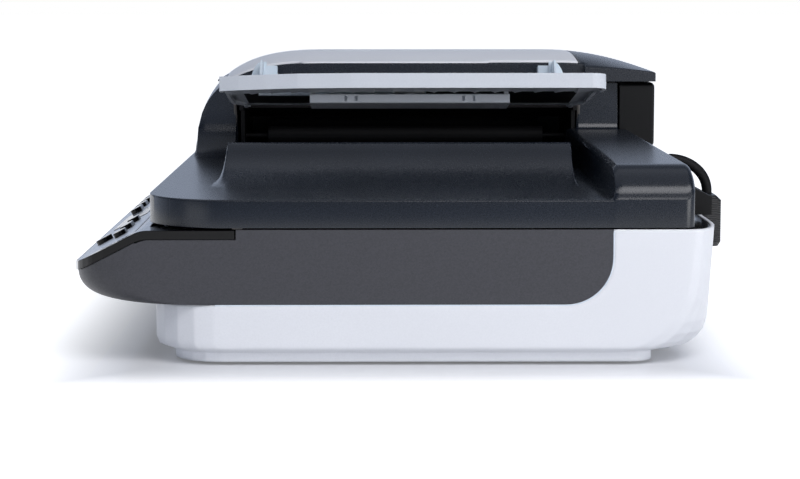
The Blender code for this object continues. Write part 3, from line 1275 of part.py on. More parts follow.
def lid_lines():
    """Grid lines through every edge and bend of the lid."""
    rim = (0.0, STEEP, LID_WALL, LID_WALL + STEEP)
    round_half = LID_FRONT_CORNER * HALF
    x = [FAR + d for d in rim] + [NEAR - d for d in rim]
    x += [FAR + BAY_END_WALL, FAR + BAY_END_WALL + STEEP, FAR + END_WALL_RUN, FAR + END_WALL_RUN + STEEP * 4]
    x += [FAR + round_half, FAR + LID_FRONT_CORNER]
    x += [NEAR - round_half, NEAR - LID_FRONT_CORNER, NEAR - RAIL_ROLL]
    x += [NEAR - RAIL_ROLL * share for share in ROLL_shares[1:-1]]
    x += [MOUTH + SIDE_COVER_STEP, MOUTH + SIDE_COVER_STEP + STEEP]
    x += [MOUTH - STEEP, MOUTH, MOUTH + STEEP * HALF] + [MOUTH + PILLAR_FOOT * share for share in FOOT_shares]
    x += [RAMP_CREST - LIP_LENGTH, RAMP_CREST, RAMP_CREST + LIP_LENGTH, RAMP_FOOT, NEAR - LID_DECK_RUN]
    x += [RAMP_CREST + (RAMP_FOOT - RAMP_CREST) * share for share in FOOT_shares]
    x += between(MOUTH + PILLAR_FOOT, RAMP_CREST, 1) + [DRUM_X - drum_slot(), DRUM_X + drum_slot()]
    y = [-LID_FRONT + d for d in rim] + [LID_REAR - d for d in rim]
    y += [-FEEDER_FRONT + STEEP * n for n in (0.0, 1.0, 3.0)]
    y += [-FEEDER_FRONT + SHOULDER_RUN * share for share in SHOULDER_shares]
    y += [-LID_FRONT + LID_FRONT_CORNER, -BAY_FRONT, -BAY_FRONT + STEEP]
    y += [-RAMP_FRONT - RAMP_FLARE, -RAMP_FRONT]
    y += [RAMP_REAR, RAMP_REAR + STEEP, RAIL_FRONT, RAIL_FRONT + STEEP, RAIL_FRONT + LID_WALL + STEEP]
    y += [BAY_REAR - STEEP, BAY_REAR, BAY_REAR + LID_WALL]
    y += [FEEDER_REAR - LID_WALL, FEEDER_REAR, FEEDER_REAR + FIT * 2]
    y += [LID_REAR - RAIL_REAR_ROUND, PAPER_FRONT, PAPER_REAR - LID_WALL] + between(PAPER_FRONT, RAMP_REAR, 1)
    return stops(*x), stops(*y)


def drum_slot():
    return DRUM_RADIUS + DRUM_SLOT_MARGIN


def make_lid(finishes):
    lines_x, lines_y = lid_lines()

    def keep(x, y):
        slot = (np.abs(x - DRUM_X) < drum_slot()) & (y > PAPER_FRONT) & (y < RAMP_REAR)
        return ~slot

    def warp(x, y):
        return round_corners(x, y, NEAR, -LID_FRONT, LID_REAR, LID_FRONT_CORNER, LID_REAR_CORNER)

    grid_shell("lid_cover", lines_x, lines_y, lid_surface, lid_under, keep, warp, finishes["dark"])
    pad_bottom = GLASS_TOP + FIT
    plate_bottom = pad_bottom + PAD_THICK + FIT
    rim = LID_WALL + STEEP + FIT * 3
    side = NEAR - rim
    corner = LID_FRONT_CORNER - rim
    outline = rounded(-side, side, -LID_FRONT + rim, LID_REAR - rim, corner, LID_REAR_CORNER)
    plate_top = plate_bottom + LID_PLATE_THICK
    plate = extrude("lid_plate", outline, "z", plate_bottom, plate_top, finishes["white"])
    low = (DRUM_X - drum_slot(), PAPER_FRONT, pad_bottom)
    high = (DRUM_X + drum_slot(), RAMP_REAR, LID_DECK)
    cut(plate, box("drum_slot", low, high, finishes["white"]))
    margin = PAD_MARGIN
    pad_depth = (PAPER_FRONT + margin, PAPER_REAR - margin)
    pad = rounded(BED_FAR + margin, BED_NEAR - margin, *pad_depth, margin, margin)
    extrude("document_pad", pad, "z", pad_bottom, pad_bottom + PAD_THICK, finishes["foam"])


# Feeder cover

def seam_inset(run, power):
    """How far inside its foot a shoulder of the feeder passes the cover's lower edge."""
    level = (COVER_BOTTOM - LID_DECK) / (CROWN_HEIGHT - LID_DECK)
    return run * (1.0 - (1.0 - level ** power) ** (1.0 / power))


def cover_ends():
    """Where the cover's lower edge runs at its far end and at its front."""
    front = -FEEDER_FRONT + seam_inset(SHOULDER_RUN, SHOULDER_POWER)
    return FAR + seam_inset(CROWN_PLACE, END_POWER), front


def cover_lines():
    rim = (0.0, COVER_WALL, COVER_WALL + STEEP)
    mouth = MOUTH + COVER_STEP
    far, front = cover_ends()
    x = [far + d for d in rim] + [MOUTH - d for d in rim] + [mouth - d for d in rim]
    x += [far + CROWN_PLACE * share for share in SHOULDER_shares]
    x += [FAR + CROWN_PLACE, MOUTH - CAP_MOUTH_INSET]
    x += [FAR + CAP_END_INSET, MOUTH - CAP_MOUTH_INSET + STEEP, FAR + CAP_END_INSET - STEEP]
    x += between(FAR + CROWN_PLACE, MOUTH, 2)
    y = [front + d for d in rim] + [COVER_REAR - d for d in rim]
    y += [front + SHOULDER_RUN * share for share in SHOULDER_shares]
    y += [COVER_STEP_PLACE, COVER_STEP_PLACE + COVER_WALL]
    y += [-CAP_FRONT, -CAP_FRONT - STEEP, CAP_REAR, CAP_REAR + STEEP, COVER_FALL_START]
    y += [COVER_STEP_PLACE + COVER_WALL + STEEP]
    y += between(-FEEDER_FRONT + SHOULDER_RUN, COVER_FALL_START, 2) + between(COVER_STEP_PLACE, COVER_REAR, 2)
    return stops(*x), stops(*y)


def inner_lines(lines, start, end):
    """The grid lines that lie clearly between two ends, with both ends."""
    return stops(start, *[line for line in lines if start + FIT < line < end - FIT], end)


def cap_region(flat_x, flat_y):
    """1 where the light cap lies in the cover, 0 outside it."""
    along = ramp(flat_x, FAR + CAP_END_INSET - STEEP, FAR + CAP_END_INSET)
    along = along * (1.0 - ramp(flat_x, MOUTH - CAP_MOUTH_INSET, MOUTH - CAP_MOUTH_INSET + STEEP))
    across = ramp(flat_y, -CAP_FRONT - STEEP, -CAP_FRONT) * (1.0 - ramp(flat_y, CAP_REAR, CAP_REAR + STEEP))
    return along * across


def make_cover(finishes):
    lines_x, lines_y = cover_lines()
    far, front = cover_ends()

    def edge(flat_x, flat_y):
        near = np.where(flat_y > COVER_STEP_PLACE + STEEP * HALF, MOUTH + COVER_STEP, MOUTH)
        return np.minimum.reduce([flat_x - far, near - flat_x, flat_y - front, COVER_REAR - flat_y])

    def skin(x, y, flat_x, flat_y):
        form = np.maximum(shoulder(x, y), COVER_BOTTOM + COVER_EDGE_ROUND)
        return form - edge_drop(np.maximum(edge(flat_x, flat_y), 0.0), COVER_EDGE_ROUND) * HALF

    def top(x, y, flat_x, flat_y):
        surface = skin(x, y, flat_x, flat_y)
        return surface - (CAP_THICK + FIT) * cap_region(flat_x, flat_y)

    def under(x, y, flat_x, flat_y):
        lowest = top(x, y, flat_x, flat_y)
        for move_x, move_y in ((-1, 0), (1, 0), (0, -1), (0, 1)):
            shifted = (flat_x + move_x * COVER_WALL, flat_y + move_y * COVER_WALL)
            lowest = np.minimum(lowest, top(*shifted, *shifted))
        inside = edge(flat_x, flat_y) > COVER_WALL * 1.01
        return np.where(inside, np.maximum(lowest - COVER_WALL, COVER_BOTTOM), COVER_BOTTOM)

    def keep(x, y):
        return (x < MOUTH) | (y > COVER_STEP_PLACE)

    def warp(x, y):
        middle = (far + MOUTH + COVER_STEP) * HALF
        reach = middle - far
        depths = (front, COVER_REAR, COVER_CORNER, COVER_EDGE_ROUND)
        bent_x, bent_y = round_corners(x - middle, y, reach, *depths)
        at_far_end = x < middle
        return np.where(at_far_end, bent_x + middle, x), np.where(at_far_end, bent_y, y)

    cover = grid_shell("adf_cover", lines_x, lines_y, top, under, keep, warp, finishes["dark"])
    axis = (COVER_AXIS_X, 0.0, COVER_AXIS_HEIGHT)
    pin_end = BARREL_REACH + FIT + EAR_THICK
    barrel = [(BARREL_PIN, -pin_end), (BARREL_PIN, -BARREL_REACH), (BARREL_RADIUS, -BARREL_REACH)]
    barrel += [(radius, -y) for radius, y in barrel[::-1]]
    for side in (-1.0, 1.0):
        notch_y = sorted((side * (BARREL_REACH - FIT * HALF), side * (pin_end + FIT * 2)))
        low = (FAR, notch_y[0], COVER_BOTTOM - OVERRUN)
        high = (COVER_AXIS_X + EAR_THICK + FIT * 2, notch_y[1], COVER_AXIS_HEIGHT + BARREL_PIN)
        cut(cover, box("notch", low, high, finishes["dark"]))
    join(cover, turned("barrel", barrel, axis, "y", finishes["dark"], PIN_STEPS))
    pick_x, hole = FAR + PICK_INSET, (DRUM_SHAFT + FIT)
    reach = PICK_WIDTH * HALF + RUNNING
    for side in (-1.0, 1.0):
        near_y, far_y = CENTRE_DEPTH + side * reach, CENTRE_DEPTH + side * (reach + COVER_WALL)
        arm_low = (pick_x - PICK_RADIUS * HALF, min(near_y, far_y), PICK_HEIGHT - PICK_RADIUS * HALF)
        arm_high = (pick_x + PICK_RADIUS * HALF, max(near_y, far_y), CROWN_MOUTH)
        join(cover, box("arm", arm_low, arm_high, finishes["dark"]))
    bore = [(hole, -reach * 2), (hole, reach * 2)]
    cut(cover, turned("bore", bore, (pick_x, CENTRE_DEPTH, PICK_HEIGHT), "y", finishes["dark"], PIN_STEPS))

    cap_x = inner_lines(lines_x, FAR + CAP_END_INSET + FIT, MOUTH - CAP_MOUTH_INSET - FIT)
    cap_y = inner_lines(lines_y, -CAP_FRONT + FIT, CAP_REAR - FIT)

    def cap_under(x, y, flat_x, flat_y):
        return skin(x, y, flat_x, flat_y) - CAP_THICK

    grid_shell("adf_cap", cap_x, cap_y, skin, cap_under, whole, warp, finishes["white"])
    return about(cover, axis)


def make_side_cover(finish):
    """The hollow rear housing of the feeder: it covers the drive and is open to the front."""
    rings = []
    top, wall = FEEDER_SEAM, SIDE_COVER_WALL

    def ring(y, inset):
        near = MOUTH + SIDE_COVER_STEP - FIT - inset
        ends = (FAR + inset, near, SIDE_COVER_BOTTOM + inset, top - inset)
        outline = rounded(*ends, SIDE_COVER_ROUND, SIDE_COVER_ROUND)[:-CORNER_STEPS - 1]
        low_top, run = END_WALL_TOP - inset, FAR + END_WALL_RUN + inset
        outline += [(run + STEEP * 2, top - inset), (run, low_top), (FAR + inset, low_top)]
        return [(x, y, z) for x, z in outline]

    rear, front = COVER_REAR, FEEDER_REAR + FIT * 3
    turn = SIDE_COVER_ROUND * HALF
    for y, inset in ((rear, turn), (rear - turn, 0.0), (front, 0.0), (front, wall), (rear - wall, wall)):
        rings.append(ring(y, inset))
    return loft("adf_side_cover", rings, finish)


# Feeder works

def plate_line(x):
    """Height of the paper path where it slopes from the tray down to the drum."""
    return TRAY_PIVOT_HEIGHT + (x - TRAY_PIVOT_X) * math.tan(math.radians(TRAY_SLOPE_DEG))


def chassis_sides():
    """Depth of the two side plates: front outer, front inner, rear inner, rear outer."""
    front, rear = -BAY_FRONT + SIDE_PLATE_GAP * 2, BAY_REAR - SIDE_PLATE_GAP
    return front, front + SIDE_PLATE_THICK, rear - SIDE_PLATE_THICK, rear


def make_chassis(finish):
    """Two side plates with the shaft holes, joined by the upper and lower paper guides."""
    front, front_in, rear_in, rear = chassis_sides()
    start = FAR + CHASSIS_INSET
    floor = LID_DECK + STEEP
    ear = TRAY_PIVOT_X + TRAY_PIN_RADIUS * 2
    low_ear, high_ear = TRAY_PIVOT_HEIGHT - TRAY_PIN_RADIUS * 2, TRAY_PIVOT_HEIGHT + TRAY_PIN_RADIUS * 2
    shelf = start + EAR_THICK * 3
    outline = [(start, floor), (MOUTH - STEEP, floor), (MOUTH - STEEP, low_ear)]
    outline += [(ear, low_ear), (ear, high_ear)]
    outline += [(MOUTH, high_ear), (MOUTH - STEEP, FEEDER_SEAM - FIT), (shelf, FEEDER_SEAM - FIT)]
    outline += [(shelf, END_WALL_TOP - EAR_THICK), (start, END_WALL_TOP - EAR_THICK)]
    chassis = extrude("adf_chassis", outline, "y", front, front_in, finish)
    join(chassis, extrude("side", outline, "y", rear_in, rear, finish))
    drum_clear = DRUM_X + DRUM_RADIUS + RUNNING
    upper = [(x, plate_line(x)) for x in (drum_clear, MOUTH - STEEP)]
    upper += [(x, z - GUIDE_PLATE_THICK) for x, z in upper[::-1]]
    lower_z = floor + GUIDE_PLATE_THICK
    lower = [(drum_clear + STEEP, floor), (MOUTH - STEEP, floor)]
    lower += [(x, lower_z) for x, z in lower[::-1]]
    overlap = SIDE_PLATE_THICK * HALF
    for profile in (upper, lower):
        join(chassis, extrude("guide", profile, "y", front_in - overlap, rear_in + overlap, finish))
    end_low = (start, front_in - overlap, floor)
    end_high = (start + EAR_THICK * 2, rear_in + overlap, END_WALL_TOP - EAR_THICK * 2)
    join(chassis, box("end", end_low, end_high, finish))
    for side in (-1.0, 1.0):
        ear_y = sorted((side * (BARREL_REACH + FIT), side * (BARREL_REACH + FIT + EAR_THICK)))
        ear_low = (COVER_AXIS_X - EAR_REACH, ear_y[0], END_WALL_TOP - EAR_THICK * 4)
        ear_high = (COVER_AXIS_X + EAR_THICK, ear_y[1], COVER_AXIS_HEIGHT)
        join(chassis, box("ear", ear_low, ear_high, finish))
    pin_hole = [(BARREL_PIN + FIT, -rear), (BARREL_PIN + FIT, rear)]
    cut(chassis, turned("pin_hole", pin_hole, (COVER_AXIS_X, 0.0, COVER_AXIS_HEIGHT), "y", finish, PIN_STEPS))
    for x, z, radius in roller_shafts():
        hole = [(radius + FIT, front - OVERRUN), (radius + FIT, rear + OVERRUN)]
        cut(chassis, turned("hole", hole, (x, 0.0, z), "y", finish, PIN_STEPS))
    return chassis


def roller_shafts():
    """Place and radius of what turns in the side plates."""
    return [
        (DRUM_X, DRUM_HEIGHT, DRUM_SHAFT),
        (FAR + EXIT_INSET, EXIT_HEIGHT, EXIT_SHAFT),
        (TRAY_PIVOT_X, TRAY_PIVOT_HEIGHT, TRAY_PIN_RADIUS),
    ]


def make_rollers(finishes):
    """Feed drum, exit roller and pick roller, each with its shaft along Y."""
    front, front_in, rear_in, rear = chassis_sides()
    ends = (front + STEEP, rear - STEEP)
    drum_end, exit_x = RUNNING * 2, FAR + EXIT_INSET
    body = (PAPER_FRONT + drum_end + STEEP, RAMP_REAR - drum_end - STEEP)
    for name, radius, shaft, x, z in (
        ("feed_drum", DRUM_RADIUS, DRUM_SHAFT, DRUM_X, DRUM_HEIGHT),
        ("exit_roller", EXIT_RADIUS, EXIT_SHAFT, exit_x, EXIT_HEIGHT),
    ):
        profile = [(shaft, ends[0]), (shaft, body[0]), (radius, body[0])]
        profile += [(radius, body[1]), (shaft, body[1]), (shaft, ends[1])]
        about(turned(name, profile, (x, 0.0, z), "y", finishes["rubber"]), (x, 0.0, z))
    half, stub = PICK_WIDTH * HALF, PICK_WIDTH * HALF + RUNNING + COVER_WALL
    profile = [(DRUM_SHAFT, -stub), (DRUM_SHAFT, -half), (PICK_RADIUS, -half)]
    profile += [(radius, -y) for radius, y in profile[::-1]]
    place = (FAR + PICK_INSET, CENTRE_DEPTH, PICK_HEIGHT)
    about(turned("pick_roller", profile, place, "y", finishes["rubber"]), place)
    low_y = FEEDER_REAR + FIT * 3
    motor = [(FEEDER_MOTOR_RADIUS, low_y), (FEEDER_MOTOR_RADIUS, low_y + FEEDER_MOTOR_LENGTH)]
    motor_x = (FAR + MOUTH) * HALF
    turned("adf_motor", motor, (motor_x, 0.0, FEEDER_MOTOR_HEIGHT), "y", finishes["steel"])


# Paper tray: made flat from its pivot, then turned up to its slope

def on_tray(piece, origin=(0.0, 0.0, 0.0)):
    """Puts a piece made in the tray's frame where it belongs, its origin on its own axis."""
    turn = Matrix.Rotation(math.radians(-TRAY_SLOPE_DEG), 4, "Y")
    start = Vector(origin)
    piece.data.transform(Matrix.Translation(-start))
    piece.data.transform(turn)
    pivot = Vector((TRAY_PIVOT_X, 0.0, TRAY_PIVOT_HEIGHT))
    piece.location = pivot + turn @ (start + Vector((0.0, 0.0, TRAY_PLATE * HALF)))
    return piece


def tray_edge(inset):
    """The tray's plan outline: narrow at its root, with a swept corner and a small round one."""
    front, rear = -TRAY_FRONT + inset, TRAY_REAR - inset
    root_front, root_rear = front + TRAY_ROOT_INSET, rear - TRAY_ROOT_INSET
    length = TRAY_LENGTH - inset
    points = [(TRAY_ROOT_INSET * 2, root_front), (TRAY_ROOT_INSET * 4, front)]
    for share in FOOT_shares:
        x = length - TRAY_SWEEP * (1.0 - share) ** 2
        points.append((x, front + TRAY_SWEEP_RUN * share if share > 0.0 else front + FIT))
    corner = TRAY_CORNER - inset
    points += arc((length - corner, rear - corner), corner, 0, 90, CORNER_STEPS)
    points += [(TRAY_ROOT_INSET * 4, rear), (TRAY_ROOT_INSET * 2, root_rear)]
    points += [(0.0, root_rear), (0.0, root_front)]
    return points


def guide_slots():
    """Where each guide's neck runs through the tray: place along the tray and the two depths."""
    middle = rack_middle()
    offset = PINION_RADIUS + PINION_TOOTH + RACK_WIDTH * HALF
    reach = GUIDE_PLACE + GUIDE_BLOCK
    inner = reach - GUIDE_TRAVEL - RACK_WIDTH * 2
    front_slot = (middle - offset, CENTRE_DEPTH - reach, CENTRE_DEPTH - inner)
    return front_slot, (middle + offset, CENTRE_DEPTH + inner, CENTRE_DEPTH + reach)


def rack_middle():
    return TRAY_LENGTH - RACK_COVER_NEAR - RACK_COVER_LENGTH * HALF


def make_tray(finishes):
    finish = finishes["grey"]
    outline = tray_edge(0.0)
    tray = extrude("input_tray", outline, "z", -TRAY_RIM, 0.0, finish)
    inner = tray_edge(TRAY_RIM_WALL)
    inner = [(x - OVERRUN if x < TRAY_RIM_WALL else x, y) for x, y in inner]
    cut(tray, extrude("under", inner, "z", -TRAY_RIM - OVERRUN, -TRAY_PLATE, finish))
    low = -TRAY_RIM - OVERRUN
    run = (TRAY_SIDE_END - TRAY_SIDE_START) / (TRAY_RIM - TRAY_SIDE_RIM)
    shallow = [(-OVERRUN, -TRAY_SIDE_RIM), (TRAY_SIDE_START, -TRAY_SIDE_RIM)]
    shallow += [(TRAY_SIDE_END + OVERRUN * run, low), (-OVERRUN, low)]
    cut(tray, extrude("shallow", shallow, "y", -TRAY_FRONT - OVERRUN, TRAY_REAR + OVERRUN, finish))
    rib_far, rib_near = TRAY_LENGTH - TRAY_RIM_WALL * 2 - TRAY_RIB_LENGTH, TRAY_LENGTH - TRAY_RIM_WALL * HALF
    count = int((TRAY_FRONT + TRAY_REAR - TRAY_RIM_WALL * 4) / TRAY_RIB_PITCH)
    start = (TRAY_REAR - TRAY_FRONT) * HALF - (count - 1) * TRAY_RIB_PITCH * HALF
    for i in range(count):
        y = start + i * TRAY_RIB_PITCH
        swept = 0.0 if y > -TRAY_FRONT + TRAY_SWEEP_RUN else TRAY_SWEEP
        low = (rib_far, y - TRAY_RIB_WIDTH * HALF, -TRAY_PLATE - TRAY_RIB_DEPTH)
        high = (rib_near - swept, y + TRAY_RIB_WIDTH * HALF, -TRAY_PLATE * HALF)
        join(tray, box("rib", low, high, finish))
    for x, y0, y1 in guide_slots():
        low = (x - TRAY_SLOT * HALF, y0, -TRAY_RIM - OVERRUN)
        cut(tray, box("slot", low, (x + TRAY_SLOT * HALF, y1, OVERRUN), finish))
    front, _, _, rear = chassis_sides()
    axle = -TRAY_PLATE * HALF
    root = TRAY_ROOT_INSET + STEEP * 4
    for y0, y1 in ((front + STEEP, -TRAY_FRONT + root), (TRAY_REAR - root, rear - STEEP)):
        pin = [(TRAY_PIN_RADIUS, y0), (TRAY_PIN_RADIUS, y1)]
        join(tray, turned("pin", pin, (0.0, 0.0, axle), "y", finish, PIN_STEPS))
    on_tray(tray, (0.0, 0.0, axle))
    make_rack_cover(finish)


def make_rack_cover(finish):
    """The bar under the tray that hides the racks, with its four slots."""
    near = TRAY_LENGTH - RACK_COVER_NEAR
    far = near - RACK_COVER_LENGTH
    top = -TRAY_PLATE - FIT
    low_z = top - RACK_COVER_DROP - RACK_COVER_THICK
    outline = rounded(far, near, low_z, top - RACK_COVER_DROP, RACK_COVER_THICK * HALF * HALF, STEEP)
    front, rear = CENTRE_DEPTH - RACK_COVER_FRONT, CENTRE_DEPTH + RACK_COVER_FRONT
    bar = extrude("rack_cover", outline, "y", front, rear, finish)
    for y0, y1 in ((front, front + RACK_THICK), (rear - RACK_THICK, rear)):
        low = (far + RACK_WIDTH * 4, y0, top - RACK_COVER_DROP - STEEP)
        join(bar, box("foot", low, (near - RACK_WIDTH * 4 + STEEP * 4, y1, top), finish))
    for i in range(RACK_COVER_SLOTS):
        side = -1.0 if i < RACK_COVER_SLOTS / 2 else 1.0
        y = CENTRE_DEPTH + side * (RACK_SLOT_PLACE + RACK_SLOT_PITCH * (i % 2))
        middle = low_z + RACK_COVER_THICK * HALF
        low = (near - RACK_THICK, y - RACK_SLOT_WIDTH * HALF, middle - RACK_SLOT_TALL * HALF)
        high = (near + OVERRUN, y + RACK_SLOT_WIDTH * HALF, middle + RACK_SLOT_TALL * HALF)
        cut(bar, box("slot", low, high, finish))
    axle = [(PINION_BOSS, low_z + RACK_THICK), (PINION_BOSS, pinion_top() - RACK_THICK - RUNNING)]
    axle += [(PINION_AXLE, axle[1][1]), (PINION_AXLE, pinion_top())]
    join(bar, turned("axle", axle, (rack_middle(), CENTRE_DEPTH, 0.0), "z", finish, PIN_STEPS))
    on_tray(bar)


def pinion_top():
    return -TRAY_PLATE - FIT - STEEP


def make_guides(finishes):
    """Two paper guides that mirror each other, each with a blade, a block, a gusset, a neck and a rack."""
    finish = finishes["clear"]
    for name, side, slot in zip(("paper_guide_front", "paper_guide_rear"), (-1.0, 1.0), guide_slots()):
        face = CENTRE_DEPTH + side * GUIDE_PLACE
        outer = face + side * GUIDE_BLOCK
        blade = outer + side * GUIDE_BLADE
        root, tip = GUIDE_ROOT, GUIDE_ROOT + GUIDE_LENGTH
        foot_y = sorted((face, blade + side * GUIDE_GUSSET * HALF))
        neck_x = slot[0]
        guide = box(name, (root, foot_y[0], FIT), (tip, foot_y[1], FIT + GUIDE_FOOT), finish)
        arm_y = sorted((outer, outer - side * RACK_WIDTH * 2))
        arm_high = (neck_x + RACK_WIDTH * HALF, arm_y[1], FIT + GUIDE_FOOT)
        arm = box("arm", (tip - STEEP, arm_y[0], FIT), arm_high, finish)
        profile = [(root, FIT), (tip, FIT), (tip - GUIDE_GUSSET, GUIDE_TALL * HALF)]
        profile += [(tip - GUIDE_GUSSET * 2, GUIDE_TALL), (root, GUIDE_TALL)]
        blade_y = sorted((outer, blade))
        wall = extrude("blade", profile, "y", blade_y[0], blade_y[1], finish)
        block_y = sorted((face, outer + side * STEEP * HALF))
        block_high = (root + GUIDE_GUSSET, block_y[1], GUIDE_TALL - FIT * 4)
        block = box("block", (root, block_y[0], FIT), block_high, finish)
        inner = blade - side * STEEP * HALF
        flare = side * GUIDE_GUSSET * HALF
        gusset_outline = [(inner, FIT), (blade + flare, FIT)]
        gusset_outline += [(blade + flare * HALF, GUIDE_TALL * HALF), (inner, GUIDE_TALL - STEEP)]
        gusset_x = root + GUIDE_GUSSET
        gusset = extrude("gusset", gusset_outline, "x", gusset_x, gusset_x + GUIDE_BLADE, finish)
        neck_low = (neck_x - TRAY_SLOT * HALF + RUNNING, arm_y[0], -TRAY_PLATE - FIT - RACK_THICK - STEEP)
        neck_high = (neck_x + TRAY_SLOT * HALF - RUNNING, arm_y[1], FIT + GUIDE_FOOT * HALF)
        neck = box("neck", neck_low, neck_high, finish)
        rack_y = sorted((outer, outer - side * RACK_LENGTH))
        rack_low = (neck_x - RACK_WIDTH * HALF, rack_y[0], pinion_top() - RACK_THICK)
        rack = box("rack", rack_low, (neck_x + RACK_WIDTH * HALF, rack_y[1], pinion_top()), finish)
        join(guide, arm, wall, block, gusset, neck, rack)
        on_tray(guide)
    top = pinion_top()
    outline = []
    for i in range(PINION_TEETH * 2):
        radius = PINION_RADIUS + (PINION_TOOTH * HALF if i % 2 else -PINION_TOOTH * HALF)
        middle = math.tau * i / (PINION_TEETH * 2)
        for turn in (-1, 1):
            angle = middle + turn * math.tau / (PINION_TEETH * 2) * TOOTH_FLAT_share
            x, y = radius * math.cos(angle), radius * math.sin(angle)
            outline.append((rack_middle() + x, CENTRE_DEPTH + y))
    pinion = extrude("guide_pinion", outline, "z", top - RACK_THICK, top, finishes["white"])
    bore = [(PINION_AXLE + FIT, top - OVERRUN), (PINION_AXLE + FIT, top + OVERRUN)]
    cut(pinion, turned("bore", bore, (rack_middle(), CENTRE_DEPTH, 0.0), "z", finishes["white"], PIN_STEPS))
    on_tray(pinion, (rack_middle(), CENTRE_DEPTH, 0.0))


# Lead from the base to the feeder

def lead_points():
    """The lead's middle line: out of the rail, round and down into the plug."""
    bend_depth = LEAD_DROP_DEPTH - LID_REAR - FIT
    centre_z = LEAD_EXIT_HEIGHT - LEAD_BEND_FALL
    points = []
    steps = CORNER_STEPS * 2
    for i in range(steps + 1):
        angle = math.radians(90) * i / steps
        y = LID_REAR + FIT + bend_depth * math.sin(angle)
        points.append((LEAD_PLACE, y, centre_z + LEAD_BEND_FALL * math.cos(angle)))
    bottom = PLUG_TOP - LEAD_IN_PLUG
    points.append((LEAD_PLACE, LEAD_DROP_DEPTH, (centre_z + bottom) * HALF))
    points.append((LEAD_PLACE, LEAD_DROP_DEPTH, bottom))
    return points


def make_lead(finishes):
    curve = bpy.data.curves.new("adf_cable", "CURVE")
    curve.dimensions = "3D"
    curve.bevel_depth = LEAD_RADIUS
    curve.bevel_resolution = 3
    curve.render_resolution_u = 0
    curve.use_fill_caps = True
    line = curve.splines.new("POLY")
    points = lead_points()
    line.points.add(len(points) - 1)
    for spot, point in zip(line.points, points):
        spot.co = (*point, 1.0)
    curve.materials.append(finishes["rubber"])
    bpy.context.scene.collection.objects.link(bpy.data.objects.new("adf_cable", curve))
    low_z = PLUG_TOP - PLUG_TALL
    half = PLUG_WIDTH * HALF
    rings = []
    turn = PLUG_CHAMFER
    levels = [(low_z, turn * HALF), (low_z + turn, 0.0), (PLUG_TOP - turn, 0.0), (PLUG_TOP, turn)]
    for z, inset in levels:
        ends = (LEAD_PLACE - half + inset, LEAD_PLACE + half - inset, PLUG_FRONT + inset, PLUG_REACH - inset)
        rings.append(at_height(rounded(*ends, turn, turn, BUTTON_STEPS), z))
    plug = loft("adf_plug", rings, finishes["rubber"])
    radius = LEAD_RADIUS + PLUG_BORE_GAP
    bore = [(radius, PLUG_TOP - LEAD_IN_PLUG - FIT), (radius, PLUG_TOP + OVERRUN)]
    cut(plug, turned("bore", bore, (LEAD_PLACE, LEAD_DROP_DEPTH, 0.0), "z", finishes["rubber"]))
    low, high = adf_socket_box()
    box("adf_socket", low, high, finishes["black"])


def main():
    clear_scene()
    finishes = make_finishes()
    make_lower_casing(finishes["white"])
    make_band(finishes["band"])
    make_panel_frame(finishes["gloss"])
    make_panel(finishes)
    make_bed(finishes)
    make_rod(finishes)
    make_drive(finishes)
    make_carriage(finishes)
    make_board(finishes["board"])
    make_sockets(finishes["black"])
    make_feet(finishes)
    make_hinges(finishes)
    make_lid(finishes)
    make_cover(finishes)
    make_side_cover(finishes["black"])
    make_chassis(finishes["black"])
    make_rollers(finishes)
    make_tray(finishes)
    make_guides(finishes)
    make_lead(finishes)


main()
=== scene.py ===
"""Looks of the flatbed scanner with a sheet feeder, built over its CAD frame."""

import json
import math

import bpy
import numpy as np
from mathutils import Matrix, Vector


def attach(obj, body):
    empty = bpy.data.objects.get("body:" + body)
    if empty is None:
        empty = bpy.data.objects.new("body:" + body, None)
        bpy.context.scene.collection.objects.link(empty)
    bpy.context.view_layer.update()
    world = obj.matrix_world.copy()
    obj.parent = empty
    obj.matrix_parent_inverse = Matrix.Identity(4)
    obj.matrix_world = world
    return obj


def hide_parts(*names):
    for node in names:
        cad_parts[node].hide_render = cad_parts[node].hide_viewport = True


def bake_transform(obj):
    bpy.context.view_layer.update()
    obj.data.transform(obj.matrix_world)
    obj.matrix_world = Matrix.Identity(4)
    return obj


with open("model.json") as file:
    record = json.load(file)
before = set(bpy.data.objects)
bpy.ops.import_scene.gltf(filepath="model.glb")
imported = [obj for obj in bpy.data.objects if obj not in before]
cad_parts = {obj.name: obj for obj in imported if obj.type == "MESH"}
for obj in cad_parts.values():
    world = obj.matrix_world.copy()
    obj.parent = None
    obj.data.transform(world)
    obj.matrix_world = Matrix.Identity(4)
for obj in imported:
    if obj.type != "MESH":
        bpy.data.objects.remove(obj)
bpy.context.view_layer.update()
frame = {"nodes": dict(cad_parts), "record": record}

MM = 0.001
HALF = 0.5

# Sizes of the scanner, as its solids have them

NEAR = 245 * MM
FAR = -NEAR
STEEP = 1.0 * MM
FIT = 0.3 * MM
BAND_BOTTOM = 37.7 * MM
BAND_REAR = 121 * MM
BAND_REAR_ROUND = 28 * MM
BAND_WALL = 3.0 * MM
BAND_CORNER = 38 * MM
CASE_TOP = 83 * MM
NOSE_REACH = 206 * MM
NOSE_HEIGHT = 60 * MM
NOSE_FLAT_DEPTH = 160 * MM
NOSE_POWER = 3.0
FASCIA_THICK = 1.5 * MM
PANEL_SLOPE_REAR = 166 * MM
PANEL_SLOPE_TOP = 81 * MM
PANEL_TOP = 82.6 * MM
PANEL_BEND = 4.4 * MM
PANEL_THICK = 5.4 * MM
PANEL_ARM_REAR = 106 * MM
LID_BOTTOM = 84 * MM
LID_FRONT = 161 * MM
LID_REAR = 170.5 * MM
LID_EDGE_TOP = 98 * MM
LID_DECK = 101 * MM
LID_DECK_RUN = 70 * MM
LID_WALL = 2.5 * MM
LID_FRONT_CORNER = 50 * MM
